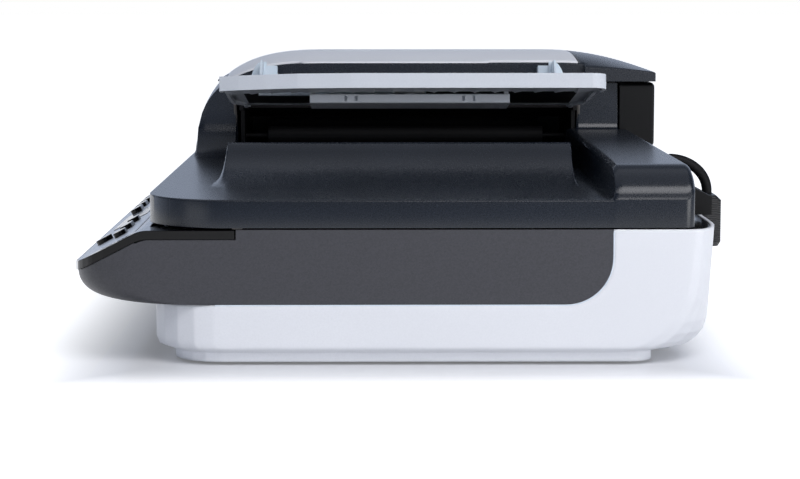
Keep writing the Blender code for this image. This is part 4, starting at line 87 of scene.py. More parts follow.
LID_REAR_CORNER = 6 * MM
LID_EDGE_ROUND = 1.3 * MM
RAIL_FRONT = 121 * MM
RAIL_TOP = 120.5 * MM
RAIL_ROLL = 28 * MM
RAIL_REAR_ROUND = 5 * MM
RAMP_FRONT = 120 * MM
RAMP_REAR = 108 * MM
RAMP_CREST = 95 * MM
RAMP_TOP = 125 * MM
RAMP_FOOT = 165 * MM
RAMP_FLARE = 7 * MM
RAMP_BACK_DEPTH = 104 * MM
LIP_LENGTH = 4 * MM
RAMP_BOW_share = 0.97
MOUTH = -118 * MM
FEEDER_LENGTH = 127 * MM
FEEDER_FRONT = 157.5 * MM
FEEDER_REAR = 162 * MM
BAY_FRONT = 127 * MM
BAY_REAR = 131 * MM
BAY_END_WALL = 5 * MM
PILLAR_FOOT = 33 * MM
FEEDER_SEAM = 155 * MM
END_WALL_TOP = 153.4 * MM
END_WALL_RUN = 14 * MM
CROWN_HEIGHT = 178.2 * MM
CROWN_PLACE = 65 * MM
CROWN_MOUTH = 170.2 * MM
SHOULDER_RUN = 100.5 * MM
SHOULDER_POWER = 2.8
END_POWER = 5.0
COVER_BOTTOM = FEEDER_SEAM + 1.4 * MM
COVER_REAR = 189.4 * MM
COVER_REAR_TOP = 163.5 * MM
COVER_FALL_START = 110 * MM
COVER_EDGE_ROUND = 2.0 * MM
COVER_WALL = 2.4 * MM
COVER_STEP = 8 * MM
COVER_STEP_PLACE = 133 * MM
COVER_CORNER = 18 * MM
CAP_THICK = 2.4 * MM
CAP_FRONT = 136 * MM
CAP_REAR = 129 * MM
CAP_MOUTH_INSET = 2 * MM
CAP_END_INSET = 12 * MM
SIDE_COVER_BOTTOM = 107 * MM
SIDE_COVER_STEP = 3 * MM
DRUM_X = -207 * MM
DRUM_SLOT = 27 * MM
PAPER_FRONT = -106 * MM
COVER_AXIS = (FAR + 7.5 * MM, 160 * MM)
BARREL_REACH = 95 * MM
PICK_PLACE = (FAR + 98 * MM, 2 * MM, 145.5 * MM)
PICK_REACH = 23.5 * MM
TRAY_PIVOT = (MOUTH + 10 * MM, 140 * MM)
TRAY_SLOPE_DEG = 9.0
LEAD_PLACE = 115 * MM
LEAD_DROP_DEPTH = 195.8 * MM
LEAD_EXIT_HEIGHT = 115.5 * MM
LEAD_BEND_FALL = 21 * MM
LEAD_FOOT = 75 * MM
LEAD_RADIUS = 3.3 * MM
CAMERA_PLACE = (1566.6 * MM, -19.8 * MM, 227.9 * MM)
CAMERA_PITCH_DEG = 6.506
CAMERA_YAW_DEG = 0.560
CAMERA_LENS = 99.99


# Colour and node helpers

def shade(code):
    """An sRGB hex colour as the linear values that a shader takes."""
    parts = np.array([int(code[i:i + 2], 16) for i in (1, 3, 5)]) / 255.0
    linear = np.where(parts <= 0.04045, parts / 12.92, ((parts + 0.055) / 1.055) ** 2.4)
    return (*linear.tolist(), 1.0)


def add(tree, kind, settings=None, values=None, links=None):
    """Adds one node: its settings, its socket values by name or number, and what feeds its sockets."""
    node = tree.nodes.new(kind)
    for name, value in (settings or {}).items():
        setattr(node, name, value)
    for socket, value in (values or {}).items():
        node.inputs[socket].default_value = value
    for socket, source in (links or {}).items():
        tree.links.new(source, node.inputs[socket])
    return node


def start_finish(name, base, roughness, **sockets):
    """A finish with plain values: its tree, its shader and the piece's own coordinates in metres."""
    material = bpy.data.materials.new(name)
    material.use_nodes = True
    tree = material.node_tree
    shader = tree.nodes["Principled BSDF"]
    shader.inputs["Base Color"].default_value = shade(base)
    shader.inputs["Roughness"].default_value = roughness
    for socket, value in sockets.items():
        shader.inputs[socket.replace("_", " ")].default_value = value
    place = add(tree, "ShaderNodeTexCoord").outputs["Object"]
    return material, tree, shader.inputs, place


# Finishes, each named for the real material

def moulded_plastic(name, dark, light, roughness, grain, depth, edge_round=0.5 * MM, **sockets):
    """Injection-moulded plastic from a spark-eroded tool.

    A fine grain breaks up the highlight, wide soft clouds change the tone a little, and edges
    are rounded by half a millimetre, as a mould leaves them, or by more on a large moulding.
    """
    material, tree, shader, place = start_finish(name, light, roughness, **sockets)
    values = {"Scale": 1.0 / grain, "Detail": 3.0}
    fine = add(tree, "ShaderNodeTexNoise", values=values, links={"Vector": place}).outputs["Fac"]
    values = {"Scale": 1.0 / (90 * MM), "Detail": 1.0}
    wide = add(tree, "ShaderNodeTexNoise", values=values, links={"Vector": place}).outputs["Fac"]
    both = add(tree, "ShaderNodeMath", {"operation": "MULTIPLY"}, links={0: fine, 1: wide}).outputs[0]
    values = {"From Min": 0.12, "From Max": 0.42}
    tone = add(tree, "ShaderNodeMapRange", values=values, links={"Value": both}).outputs["Result"]
    colours = {6: shade(dark), 7: shade(light)}
    colour = add(tree, "ShaderNodeMix", {"data_type": "RGBA"}, colours, {0: tone}).outputs[2]
    tree.links.new(colour, shader["Base Color"])
    values = {"From Min": 0.3, "From Max": 0.7, "To Min": roughness - 0.03, "To Max": roughness + 0.04}
    gloss = add(tree, "ShaderNodeMapRange", values=values, links={"Value": fine}).outputs["Result"]
    tree.links.new(gloss, shader["Roughness"])
    edge = add(tree, "ShaderNodeBevel", {"samples": 8}, {"Radius": edge_round}).outputs["Normal"]
    links = {"Height": fine, "Normal": edge}
    relief = add(tree, "ShaderNodeBump", values={"Distance": depth, "Strength": 1.0}, links=links)
    tree.links.new(relief.outputs["Normal"], shader["Normal"])
    return material


def flake_paint(name, dark, light, roughness, flake, **sockets):
    """Paint with fine metal flakes: single specks are brighter and glossier than their ground."""
    material, tree, shader, place = start_finish(name, light, roughness, **sockets)
    values = {"Scale": 1.0 / flake}
    specks = add(tree, "ShaderNodeTexVoronoi", values=values, links={"Vector": place}).outputs["Color"]
    colours = {6: shade(dark), 7: shade(light)}
    colour = add(tree, "ShaderNodeMix", {"data_type": "RGBA"}, colours, {0: specks}).outputs[2]
    tree.links.new(colour, shader["Base Color"])
    values = {"To Min": roughness + 0.06, "To Max": roughness - 0.06}
    gloss = add(tree, "ShaderNodeMapRange", values=values, links={"Value": specks}).outputs["Result"]
    tree.links.new(gloss, shader["Roughness"])
    values = {"Scale": 1.0 / (flake * 2), "Detail": 2.0}
    grain = add(tree, "ShaderNodeTexNoise", values=values, links={"Vector": place}).outputs["Fac"]
    edge = add(tree, "ShaderNodeBevel", {"samples": 4}, {"Radius": 0.5 * MM}).outputs["Normal"]
    links = {"Height": grain, "Normal": edge}
    relief = add(tree, "ShaderNodeBump", values={"Distance": 0.01 * MM, "Strength": 1.0}, links=links)
    tree.links.new(relief.outputs["Normal"], shader["Normal"])
    return material


def ground_metal(name, dark, light, roughness, stretch):
    """Ground steel: fine lines across the piece, made by noise that is stretched along one axis."""
    material, tree, shader, place = start_finish(name, light, roughness, Metallic=1.0)
    values = {"Scale": stretch}
    mapped = add(tree, "ShaderNodeMapping", values=values, links={"Vector": place}).outputs["Vector"]
    values = {"Scale": 1.0 / (0.5 * MM), "Detail": 3.0}
    lines = add(tree, "ShaderNodeTexNoise", values=values, links={"Vector": mapped}).outputs["Fac"]
    colours = {6: shade(dark), 7: shade(light)}
    colour = add(tree, "ShaderNodeMix", {"data_type": "RGBA"}, colours, {0: lines}).outputs[2]
    tree.links.new(colour, shader["Base Color"])
    values = {"To Min": roughness - 0.06, "To Max": roughness + 0.1}
    gloss = add(tree, "ShaderNodeMapRange", values=values, links={"Value": lines}).outputs["Result"]
    tree.links.new(gloss, shader["Roughness"])
    values = {"Distance": 0.004 * MM, "Strength": 1.0}
    relief = add(tree, "ShaderNodeBump", values=values, links={"Height": lines})
    tree.links.new(relief.outputs["Normal"], shader["Normal"])
    return material


def skinned_foam(name, dark, light):
    """Open foam with a skin: round pores about 1.2 mm across, each coloured darker towards its middle as a
    painted shade in the hollow.
    """
    material, tree, shader, place = start_finish(name, light, 0.9, Sheen_Weight=0.15)
    values = {"Scale": 1.0 / (1.2 * MM)}
    pores = add(tree, "ShaderNodeTexVoronoi", values=values, links={"Vector": place}).outputs["Distance"]
    # Painted shade: each pore is coloured darker where its hollow sinks deepest
    colours = {6: shade(dark), 7: shade(light)}
    colour = add(tree, "ShaderNodeMix", {"data_type": "RGBA"}, colours, {0: pores}).outputs[2]
    tree.links.new(colour, shader["Base Color"])
    values = {"Distance": 0.25 * MM, "Strength": 1.0}
    relief = add(tree, "ShaderNodeBump", values=values, links={"Height": pores})
    tree.links.new(relief.outputs["Normal"], shader["Normal"])
    return material


def circuit_board(name, mask, track):
    """Green solder mask with slightly raised lighter tracks on a 2.5 mm grid."""
    material, tree, shader, place = start_finish(name, mask, 0.32)
    values = {"Scale": 1.0 / (2.5 * MM), "Mortar Size": 0.18, "Bias": -0.2}
    bricks = add(tree, "ShaderNodeTexBrick", {"offset": 0.37}, values, {"Vector": place}).outputs["Fac"]
    colours = {6: shade(mask), 7: shade(track)}
    colour = add(tree, "ShaderNodeMix", {"data_type": "RGBA"}, colours, {0: bricks}).outputs[2]
    tree.links.new(colour, shader["Base Color"])
    values = {"Distance": 0.035 * MM, "Strength": 1.0}
    relief = add(tree, "ShaderNodeBump", values=values, links={"Height": bricks})
    tree.links.new(relief.outputs["Normal"], shader["Normal"])
    return material


def clear_sheet(name, colour, roughness, ior, transmission, haze=0.0):
    """Clear glass or plastic: light passes, with a faint waviness from how it was made."""
    sockets = {"IOR": ior, "Transmission_Weight": transmission}
    material, tree, shader, place = start_finish(name, colour, roughness, **sockets)
    values = {"Scale": 1.0 / (30 * MM), "Detail": 1.0}
    wave = add(tree, "ShaderNodeTexNoise", values=values, links={"Vector": place}).outputs["Fac"]
    values = {"Distance": 0.02 * MM, "Strength": 1.0}
    relief = add(tree, "ShaderNodeBump", values=values, links={"Height": wave})
    tree.links.new(relief.outputs["Normal"], shader["Normal"])
    values = {"To Min": roughness, "To Max": roughness + 0.03 + haze}
    gloss = add(tree, "ShaderNodeMapRange", values=values, links={"Value": wave}).outputs["Result"]
    tree.links.new(gloss, shader["Roughness"])
    return material


def ribbed_plastic(name, dark, light, roughness, pitch):
    """Black plug moulding with finger ridges: level waves, one every pitch of height. The same waves colour
    it darker in each groove than on the crests, as a painted shade.
    """
    material, tree, shader, place = start_finish(name, light, roughness)
    settings = {"wave_type": "BANDS", "bands_direction": "Z", "wave_profile": "SIN"}
    # A wave texture passes pi / 10 radians for each unit of scale and length
    values = {"Scale": math.pi / 10.0 / pitch}
    ridges = add(tree, "ShaderNodeTexWave", settings, values, {"Vector": place}).outputs["Fac"]
    # Painted shade: the grooves between the ridges are coloured darker than the crests
    colours = {6: shade(dark), 7: shade(light)}
    colour = add(tree, "ShaderNodeMix", {"data_type": "RGBA"}, colours, {0: ridges}).outputs[2]
    tree.links.new(colour, shader["Base Color"])
    edge = add(tree, "ShaderNodeBevel", {"samples": 4}, {"Radius": 0.8 * MM}).outputs["Normal"]
    links = {"Height": ridges, "Normal": edge}
    relief = add(tree, "ShaderNodeBump", values={"Distance": 0.5 * MM, "Strength": 1.0}, links=links)
    tree.links.new(relief.outputs["Normal"], shader["Normal"])
    return material


def make_finishes():
    """Every finish of the scanner, by the name of its slot or of the piece that wears it."""
    mould = moulded_plastic
    matt = {"Specular_IOR_Level": 0.2}
    return {
        # Satin ABS: a cool dark slate with a fine even grain
        "lid_dark": mould(
            "satin_abs_slate", "#12171f", "#191f29", 0.27, 0.9 * MM, 0.006 * MM, Specular_IOR_Level=0.46
        ),
        # Painted band: anthracite with flakes about 0.5 mm apart, drawn at 0.8 mm to show
        "band_grained": flake_paint(
            "flaked_anthracite_paint", "#37373b", "#414146", 0.42, 0.8 * MM, Specular_IOR_Level=0.4
        ),
        # Satin ABS, neutral white: nearly even, it only softens its reflections. A wide rounding in the
        # shader evens out the flats of its corners
        "casing_white": mould("satin_abs_white", "#e9eaed", "#eeeff2", 0.38, 1.1 * MM, 0.006 * MM, 3.5 * MM),
        # Polished black ABS: mirror-like at its edges and nearly without colour of its own
        "panel_gloss": mould("polished_abs_black", "#040405", "#070708", 0.12, 4 * MM, 0.001 * MM, **matt),
        # Silver paint on ABS: bright flakes about 0.3 mm apart, drawn at 0.7 mm to show
        "panel_silver": flake_paint("silver_painted_abs", "#cfd2d6", "#e2e4e8", 0.32, 0.7 * MM, Metallic=0.5),
        # Satin ABS, light grey with a blue tinge
        "tray_grey": mould("satin_abs_light_grey", "#d6dae0", "#dde1e6", 0.38, 1.0 * MM, 0.006 * MM),
        # Frosted pale polycarbonate: bluish white, it lets a little light through
        "guide_pale": clear_sheet("frosted_polycarbonate", "#e2edf5", 0.30, 1.58, 0.18, 0.04),
        # Textured ABS inside the feeder: matt, so that the mouth reads as deep and dark. The black sheet
        # under the tray wears it too, as a painted shade
        "inner_black": mould("textured_abs_black_and_painted_shade", "#050506", "#09090a", 0.5, 1.2 * MM, 0.02 * MM, **matt),
        # Moulded rubber of rollers, feet and lead: the dullest of the blacks
        "black_rubber": mould("moulded_rubber_black", "#08080a", "#101012", 0.6, 0.8 * MM, 0.02 * MM, **matt),
        "pad_foam": skinned_foam("white_pad_foam", "#d9d7d0", "#f0efea"),
        "bed_glass": clear_sheet("float_glass", "#dcebe6", 0.0, 1.52, 1.0),
        "bright_steel": ground_metal("ground_steel", "#9a9c9f", "#c2c4c6", 0.22, (1.0, 0.05, 1.0)),
        "mirror_strip": ground_metal("front_coated_mirror", "#d4d6d6", "#e4e6e6", 0.07, (1.0, 1.0, 1.0)),
        "green_board": circuit_board("green_solder_mask", "#0f4a2a", "#2d7a4a"),
        "lamp_tube": mould("phosphor_coated_glass", "#eef1ee", "#f8faf8", 0.18, 2 * MM, 0.004 * MM),
        # Plug: black ABS with level finger ridges 1.5 mm apart
        "plug": ribbed_plastic("ridged_abs_black", "#060607", "#101012", 0.35, 1.5 * MM),
        # Warm grey of the mouth's edges and of the bumper: a painted highlight, lighter than the dark plastic
        # they are made of
        "lip": mould("warm_grey_painted_edge_highlight", "#3b3836", "#46423f", 0.45, 0.8 * MM, 0.006 * MM),
        # The parting bead of the casing: a bluish white, glossier than the casing
        "bead": mould("polished_abs_bluish_white", "#dfe8f2", "#eaf1f9", 0.2, 1.0 * MM, 0.004 * MM),
    }


FINISH = make_finishes()


def dress_frame():
    """Gives every CAD node the finish of its material slot."""
    for part in frame["record"]["subparts"]:
        for place in frame["nodes"][part["node"]].material_slots:
            place.link = "OBJECT"
            place.material = FINISH[part["material_slot"]]
    for place in frame["nodes"]["adf_plug"].material_slots:
        place.material = FINISH["plug"]


# Mesh helpers

def put(name, points, faces, slot, body, nodes=(), finish=None):
    """Makes one piece of points and faces, with the body that carries it and the solids it stands for.

    A piece with no body rides on none.
    """
    mesh = bpy.data.meshes.new(name)
    mesh.from_pydata(points.tolist(), [], faces)
    mesh.materials.append(FINISH[finish or slot])
    mesh.shade_smooth()
    mesh.set_sharp_from_angle(angle=math.radians(40.0))
    piece = bpy.data.objects.new(name, mesh)
    bpy.context.scene.collection.objects.link(piece)
    if body:
        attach(piece, body)
    if nodes:
        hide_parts(*nodes)
    return piece


def cells(rows, columns, closed=False):
    """Corner numbers of every cell of a grid whose columns may close into a ring."""
    spans = columns if closed else columns - 1
    i, j = np.meshgrid(np.arange(rows - 1), np.arange(spans), indexing="ij")
    following = (j + 1) % columns
    corners = [i * columns + j, i * columns + following]
    corners += [(i + 1) * columns + following, (i + 1) * columns + j]
    return np.stack([corner.ravel() for corner in corners], -1)


def carried(profile, path, side):
    """A profile carried along a path: each (across, up) place of it is moved along two directions.

    The second direction is square to the path and to a fixed side direction, and the ends are closed.
    """
    path = np.asarray(path, float)
    ahead = np.gradient(path, axis=0)
    ahead /= np.linalg.norm(ahead, axis=1, keepdims=True)
    up = np.cross(ahead, np.asarray(side, float))
    up /= np.linalg.norm(up, axis=1, keepdims=True)
    across = np.cross(up, ahead)
    profile = np.asarray(profile, float)
    offsets = profile[None, :, :1] * across[:, None] + profile[None, :, 1:] * up[:, None]
    points = (path[:, None] + offsets).reshape(-1, 3)
    rows, columns = len(path), len(profile)
    faces = cells(rows, columns, closed=True).tolist()
    faces.append(list(range(columns))[::-1])
    faces.append(list(range((rows - 1) * columns, rows * columns)))
    return points, faces


def round_bar(width, height, turn, steps=4):
    """A rectangle with round corners as (across, up) places, anticlockwise."""
    quarter = np.linspace(0.0, math.pi / 2, steps)
    places = []
    for k, (a, b) in enumerate(((1, 1), (-1, 1), (-1, -1), (1, -1))):
        angle = quarter + k * math.pi / 2
        centre = (a * (width * HALF - turn), b * (height * HALF - turn))
        places.append(np.stack([centre[0] + turn * np.cos(angle), centre[1] + turn * np.sin(angle)], -1))
    return np.concatenate(places)


def turned(profile, start, axis, steps=32):
    """A (radius, distance) profile turned round an axis that runs from a start; both ends are closed."""
    axis = np.asarray(axis, float) / np.linalg.norm(axis)
    side = np.cross(axis, (0.0, 0.6, 0.8) if abs(axis[2]) < 0.7 else (1.0, 0.0, 0.0))
    side /= np.linalg.norm(side)
    third = np.cross(axis, side)
    angle = np.linspace(0.0, math.tau, steps, endpoint=False)
    radius, along = np.asarray(profile, float).T
    ring = np.cos(angle)[:, None] * side + np.sin(angle)[:, None] * third
    points = np.asarray(start) + along[:, None, None] * axis + radius[:, None, None] * ring[None]
    rows = len(profile)
    faces = cells(rows, steps, closed=True).tolist()
    faces.append(list(range(steps))[::-1])
    faces.append(list(range((rows - 1) * steps, rows * steps)))
    return points.reshape(-1, 3), faces


def grid_lines(low, high, step, edges):
    """Places from low to high, at most a step apart and close together beside every edge."""
    beside = np.array([-1.3, -0.6, 0.0, 0.6, 1.3]) * MM
    places = (np.array([low, *edges, high])[:, None] + beside).ravel()
    places = np.unique(np.round(places[(places > low) & (places < high)], 6))
    places = np.concatenate([[low], places, [high]])
    gaps = np.diff(places)
    starts, gaps = places[:-1][gaps > FIT * HALF], gaps[gaps > FIT * HALF]
    counts = np.maximum(1, np.ceil(gaps / step)).astype(int)
    runs = [start + gap * np.arange(count) / count for start, gap, count in zip(starts, gaps, counts)]
    return np.concatenate([*runs, [high]])


def height_shell(lines_x, lines_y, top, bottom, keep, warp):
    """Two height functions over one grid of lines, closed by a wall along every border of the kept cells.

    The grid is bent in plan first, and keep says which cells exist by their straight middles.
    """
    flat_x, flat_y = np.meshgrid(lines_x, lines_y, indexing="ij")
    bent_x, bent_y = warp(flat_x, flat_y)
    levels = [form(bent_x, bent_y, flat_x, flat_y) for form in (top, bottom)]
    points = np.concatenate([np.stack([bent_x, bent_y, z], -1).reshape(-1, 3) for z in levels])
    number = np.arange(flat_x.size).reshape(flat_x.shape)
    square = np.stack([number[:-1, :-1], number[1:, :-1], number[1:, 1:], number[:-1, 1:]], -1)
    middle_x = (flat_x[1:, 1:] + flat_x[:-1, 1:]) * HALF
    middle_y = (flat_y[1:, 1:] + flat_y[1:, :-1]) * HALF
    present = keep(middle_x, middle_y)
    faces = [square[present], square[present][:, ::-1] + flat_x.size]
    around = np.pad(present, 1)
    for side, beside in enumerate(((0, -1), (1, 0), (0, 1), (-1, 0))):
        other = np.roll(around, (-beside[0], -beside[1]), (0, 1))[1:-1, 1:-1]
        wall = square[present & ~other]
        a, b = wall[:, side], wall[:, (side + 1) % 4]
        faces.append(np.stack([b, a, a + flat_x.size, b + flat_x.size], -1))
    faces = np.concatenate(faces)
    used, numbers = np.unique(faces, return_inverse=True)
    return points[used], numbers.reshape(faces.shape).tolist()


# Curves that the forms are made of

def rise_between(values, start, end):
    """Rises straight from 0 at start to 1 at end."""
    return np.clip((values - start) / (end - start), 0.0, 1.0)


def eased(values):
    """Softens the two ends of a straight rise: 3v^2 - 2v^3."""
    return values * values * (3.0 - 2.0 * values)


def arc_rise(along):
    """A concave foot, a quarter circle: level at 0 and upright at 1."""
    return 1.0 - np.sqrt(np.clip(1.0 - along * along, 0.0, 1.0))


def arc_fall(along):
    """A rounded shoulder, a quarter circle: 1 and level at 0, 0 and upright at 1."""
    return np.sqrt(np.clip(1.0 - along * along, 0.0, 1.0))


def edge_drop(distance, radius):
    """How far a rounded border lies below the surface inside it."""
    level = np.clip(radius - distance, 0.0, radius)
    return radius - np.sqrt(radius * radius - level * level)


def softened(form, reach):
    """Rounds the crests and feet of a height function: the mean of nine heights around each place."""
    moves = [(a * reach, b * reach) for a in (-1, 0, 1) for b in (-1, 0, 1)]

    def mean(x, y, flat_x, flat_y):
        return sum(form(x + a, y + b, flat_x + a, flat_y + b) for a, b in moves) / 9.0

    return mean


def level(height):
    """A height function that is the same everywhere."""
    return lambda x, y, flat_x, flat_y: np.full_like(x, height)


def round_corners(x, y, reach, front, rear, front_round, rear_round):
    """Bends a square grid so that its border has round corners in plan."""
    out_x, out_y = x.copy(), y.copy()
    for edge, radius, side in ((front, front_round, -1.0), (rear, rear_round, 1.0)):
        along = (np.abs(x) - (reach - radius)) / radius
        across = (y - (edge - side * radius)) * side / radius
        inside = (along > 0.0) & (across > 0.0)
        length = np.where(inside, np.hypot(along, across), 1.0)
        scale = np.where(inside, np.maximum(along, across) / length, 1.0)
        corner_x = np.sign(x) * (reach - radius + along * scale * radius)
        corner_y = edge - side * radius + side * across * scale * radius
        out_x = np.where(inside, corner_x, out_x)
        out_y = np.where(inside, corner_y, out_y)
    return out_x, out_y


# Lid

def feeder_form(x, y):
    """The feeder's outer form: a crown that falls by power curves to the front, the end and the rear."""
    to_front = np.clip((-y - (FEEDER_FRONT - SHOULDER_RUN)) / SHOULDER_RUN, 0.0, 1.0)
    front = (1.0 - to_front ** SHOULDER_POWER) ** (1.0 / SHOULDER_POWER)
    to_end = np.clip((FAR + CROWN_PLACE - x) / CROWN_PLACE, 0.0, 1.0)
    end = (1.0 - to_end ** END_POWER) ** (1.0 / END_POWER)
    to_mouth = np.clip((x - FAR - CROWN_PLACE) / (FEEDER_LENGTH - CROWN_PLACE), 0.0, None)
    crown = CROWN_HEIGHT - (CROWN_HEIGHT - CROWN_MOUTH) * to_mouth ** 2
    to_rear = np.clip((y - COVER_FALL_START) / (COVER_REAR - COVER_FALL_START), 0.0, None)
    crown = crown - (crown - COVER_REAR_TOP) * to_rear ** 2
    return LID_DECK + (crown - LID_DECK) * front * end


def ramp_form(x, y):
    """The raised output ramp: a quarter circle up towards -X, a small lip, then a slope to the feeder."""
    rise = RAMP_TOP - LID_DECK
    near = np.clip((RAMP_FOOT - x) / (RAMP_FOOT - RAMP_CREST - LIP_LENGTH), 0.0, 1.0)
    face = rise * arc_rise(near * RAMP_BOW_share) / arc_rise(RAMP_BOW_share)
    back = np.clip((RAMP_CREST - x) / (RAMP_CREST - MOUTH), 0.0, 1.0)
    top = rise - (RAMP_TOP - RAMP_BACK_DEPTH) * back
    height = np.minimum(np.where(x > RAMP_CREST, face, rise), top)
    flare = RAMP_FLARE * (1.0 - height / rise)
    front = rise_between(y, -RAMP_FRONT - flare - STEEP, -RAMP_FRONT)
    rear = 1.0 - rise_between(y, RAMP_REAR, RAMP_REAR + STEEP)
    return LID_DECK + height * eased(front) * rear * rise_between(x, MOUTH - STEEP, MOUTH)


def deck_form(x):
    """The lid's deck: it falls a little towards the +X edge."""
    return LID_DECK - (LID_DECK - LID_EDGE_TOP) * eased(rise_between(x, NEAR - LID_DECK_RUN, NEAR))


def rail_form(x, y):
    """The raised rear rail, rolled down at its +X end and rounded at its rear edge."""
    along = np.clip((x - (NEAR - RAIL_ROLL)) / RAIL_ROLL, 0.0, 1.0)
    top = LID_EDGE_TOP + (RAIL_TOP - LID_EDGE_TOP) * arc_fall(along)
    back = np.clip((y - (LID_REAR - RAIL_REAR_ROUND)) / RAIL_REAR_ROUND, 0.0, 1.0)
    top = top - RAIL_REAR_ROUND * (1.0 - arc_fall(back))
    base = deck_form(x)
    return base + (top - base) * rise_between(y, RAIL_FRONT, RAIL_FRONT + STEEP)


def pillar_form(x, y):
    """The feeder's front, end and rear walls, with a concave foot towards +X."""
    foot = np.clip((MOUTH + PILLAR_FOOT - x) / PILLAR_FOOT, 0.0, 1.0)
    wall = np.where(x <= MOUTH + STEEP * HALF, FEEDER_SEAM - LID_DECK, PILLAR_FOOT * arc_rise(foot))
    from_end = rise_between(x, FAR + END_WALL_RUN, FAR + END_WALL_RUN + STEEP * 4)
    end_top = END_WALL_TOP + (FEEDER_SEAM - END_WALL_TOP) * from_end
    wall = np.minimum(np.minimum(LID_DECK + wall, end_top), feeder_form(x, y))
    front = 1.0 - rise_between(y, -BAY_FRONT, -BAY_FRONT + STEEP)
    rear = 1.0 - rise_between(y, FEEDER_REAR, FEEDER_REAR + FIT * 2)
    rear = rear * rise_between(y, BAY_REAR - STEEP, BAY_REAR)
    end = 1.0 - rise_between(x, FAR + BAY_END_WALL, FAR + BAY_END_WALL + STEEP)
    inside = np.where(y < FEEDER_REAR + FIT, end, 0.0)
    return LID_BOTTOM + (wall - LID_BOTTOM) * np.maximum.reduce([front, rear, inside])


def lid_border(flat_x, flat_y):
    """Distance from a straight grid place to the lid's nearest border."""
    return np.minimum.reduce([NEAR - np.abs(flat_x), flat_y + LID_FRONT, LID_REAR - flat_y])


def lid_surface(x, y, flat_x, flat_y):
    """Height of the lid's outer surface: the highest of deck, rail, ramp and feeder walls."""
    step = MOUTH + SIDE_COVER_STEP
    over_side = 1.0 - rise_between(x, step, step + STEEP)
    over_side = over_side * rise_between(y, FEEDER_REAR, FEEDER_REAR + FIT * 2)
    in_bay = 1.0 - rise_between(x, MOUTH - STEEP, MOUTH)
    in_bay = in_bay * (1.0 - rise_between(y, BAY_REAR - STEEP, BAY_REAR))
    rail = rail_form(x, y) * (1.0 - over_side) + (SIDE_COVER_BOTTOM - FIT) * over_side
    rail = rail * (1.0 - in_bay) + LID_DECK * in_bay
    form = np.maximum.reduce([deck_form(x), rail, ramp_form(x, y)])
    drop = edge_drop(lid_border(flat_x, flat_y), LID_EDGE_ROUND)
    return np.maximum(form - drop, pillar_form(x, y))


def lid_under(x, y, flat_x, flat_y):
    """Height of the lid's inner surface: the outer one, a wall lower and a wall further in."""
    lowest = lid_surface(x, y, flat_x, flat_y)
    for move_x in (-LID_WALL, 0.0, LID_WALL):
        for move_y in (-LID_WALL, 0.0, LID_WALL):
            lowest = np.minimum(lowest, lid_surface(x + move_x, y + move_y, flat_x, flat_y))
    return np.where(lid_border(flat_x, flat_y) > LID_WALL * 1.01, lowest - LID_WALL, LID_BOTTOM)


def make_lid():
    """The lid's shell over a grid with close lines beside every edge, open over the feed drum."""
    edges_x = [FAR + LID_WALL, FAR + BAY_END_WALL, FAR + END_WALL_RUN, DRUM_X - DRUM_SLOT, DRUM_X + DRUM_SLOT]
    edges_x += [MOUTH, MOUTH + SIDE_COVER_STEP, RAMP_CREST, NEAR - RAIL_ROLL, NEAR - LID_WALL]
    edges_y = [-LID_FRONT + LID_WALL, -FEEDER_FRONT, -BAY_FRONT, -RAMP_FRONT, PAPER_FRONT, RAMP_REAR]
    edges_y += [RAIL_FRONT, BAY_REAR, FEEDER_REAR, LID_REAR - RAIL_REAR_ROUND, LID_REAR - LID_WALL]
    rim = np.array([0.1, 0.4, 0.8, 1.3]) * MM
    lines_x = grid_lines(FAR, NEAR, 3.6 * MM, edges_x)
    lines_x = np.union1d(lines_x, np.concatenate([FAR + rim, NEAR - rim]))
    lines_y = grid_lines(-LID_FRONT, LID_REAR, 3.0 * MM, edges_y)
    lines_y = np.union1d(lines_y, np.concatenate([rim - LID_FRONT, LID_REAR - rim]))

    def keep(x, y):
        return ~((np.abs(x - DRUM_X) < DRUM_SLOT) & (y > PAPER_FRONT) & (y < RAMP_REAR))

    def warp(x, y):
        return round_corners(x, y, NEAR, -LID_FRONT, LID_REAR, LID_FRONT_CORNER, LID_REAR_CORNER)

    points, faces = height_shell(lines_x, lines_y, softened(lid_surface, 0.6 * MM), lid_under, keep, warp)
    put("lid_shell", points, faces, "lid_dark", "lid", ["lid_cover"])


# Feeder cover

def seam_inset(run, power):
    """How far inside its foot a shoulder of the feeder passes the cover's lower edge."""
    level = (COVER_BOTTOM - LID_DECK) / (CROWN_HEIGHT - LID_DECK)
    return run * (1.0 - (1.0 - level ** power) ** (1.0 / power))


COVER_FAR = FAR + seam_inset(CROWN_PLACE, END_POWER)
COVER_FRONT = -FEEDER_FRONT + seam_inset(SHOULDER_RUN, SHOULDER_POWER)


def cover_edge(flat_x, flat_y):
    """Distance from a straight grid place to the cover's nearest border."""
    near = np.where(flat_y > COVER_STEP_PLACE + STEEP * HALF, MOUTH + COVER_STEP, MOUTH)
    return np.minimum.reduce([flat_x - COVER_FAR, near - flat_x, flat_y - COVER_FRONT, COVER_REAR - flat_y])


def cover_skin(x, y, flat_x, flat_y):
    """The feeder's outer form with a rounded border."""
    form = np.maximum(feeder_form(x, y), COVER_BOTTOM + COVER_EDGE_ROUND)
    return form - edge_drop(np.maximum(cover_edge(flat_x, flat_y), 0.0), COVER_EDGE_ROUND) * HALF


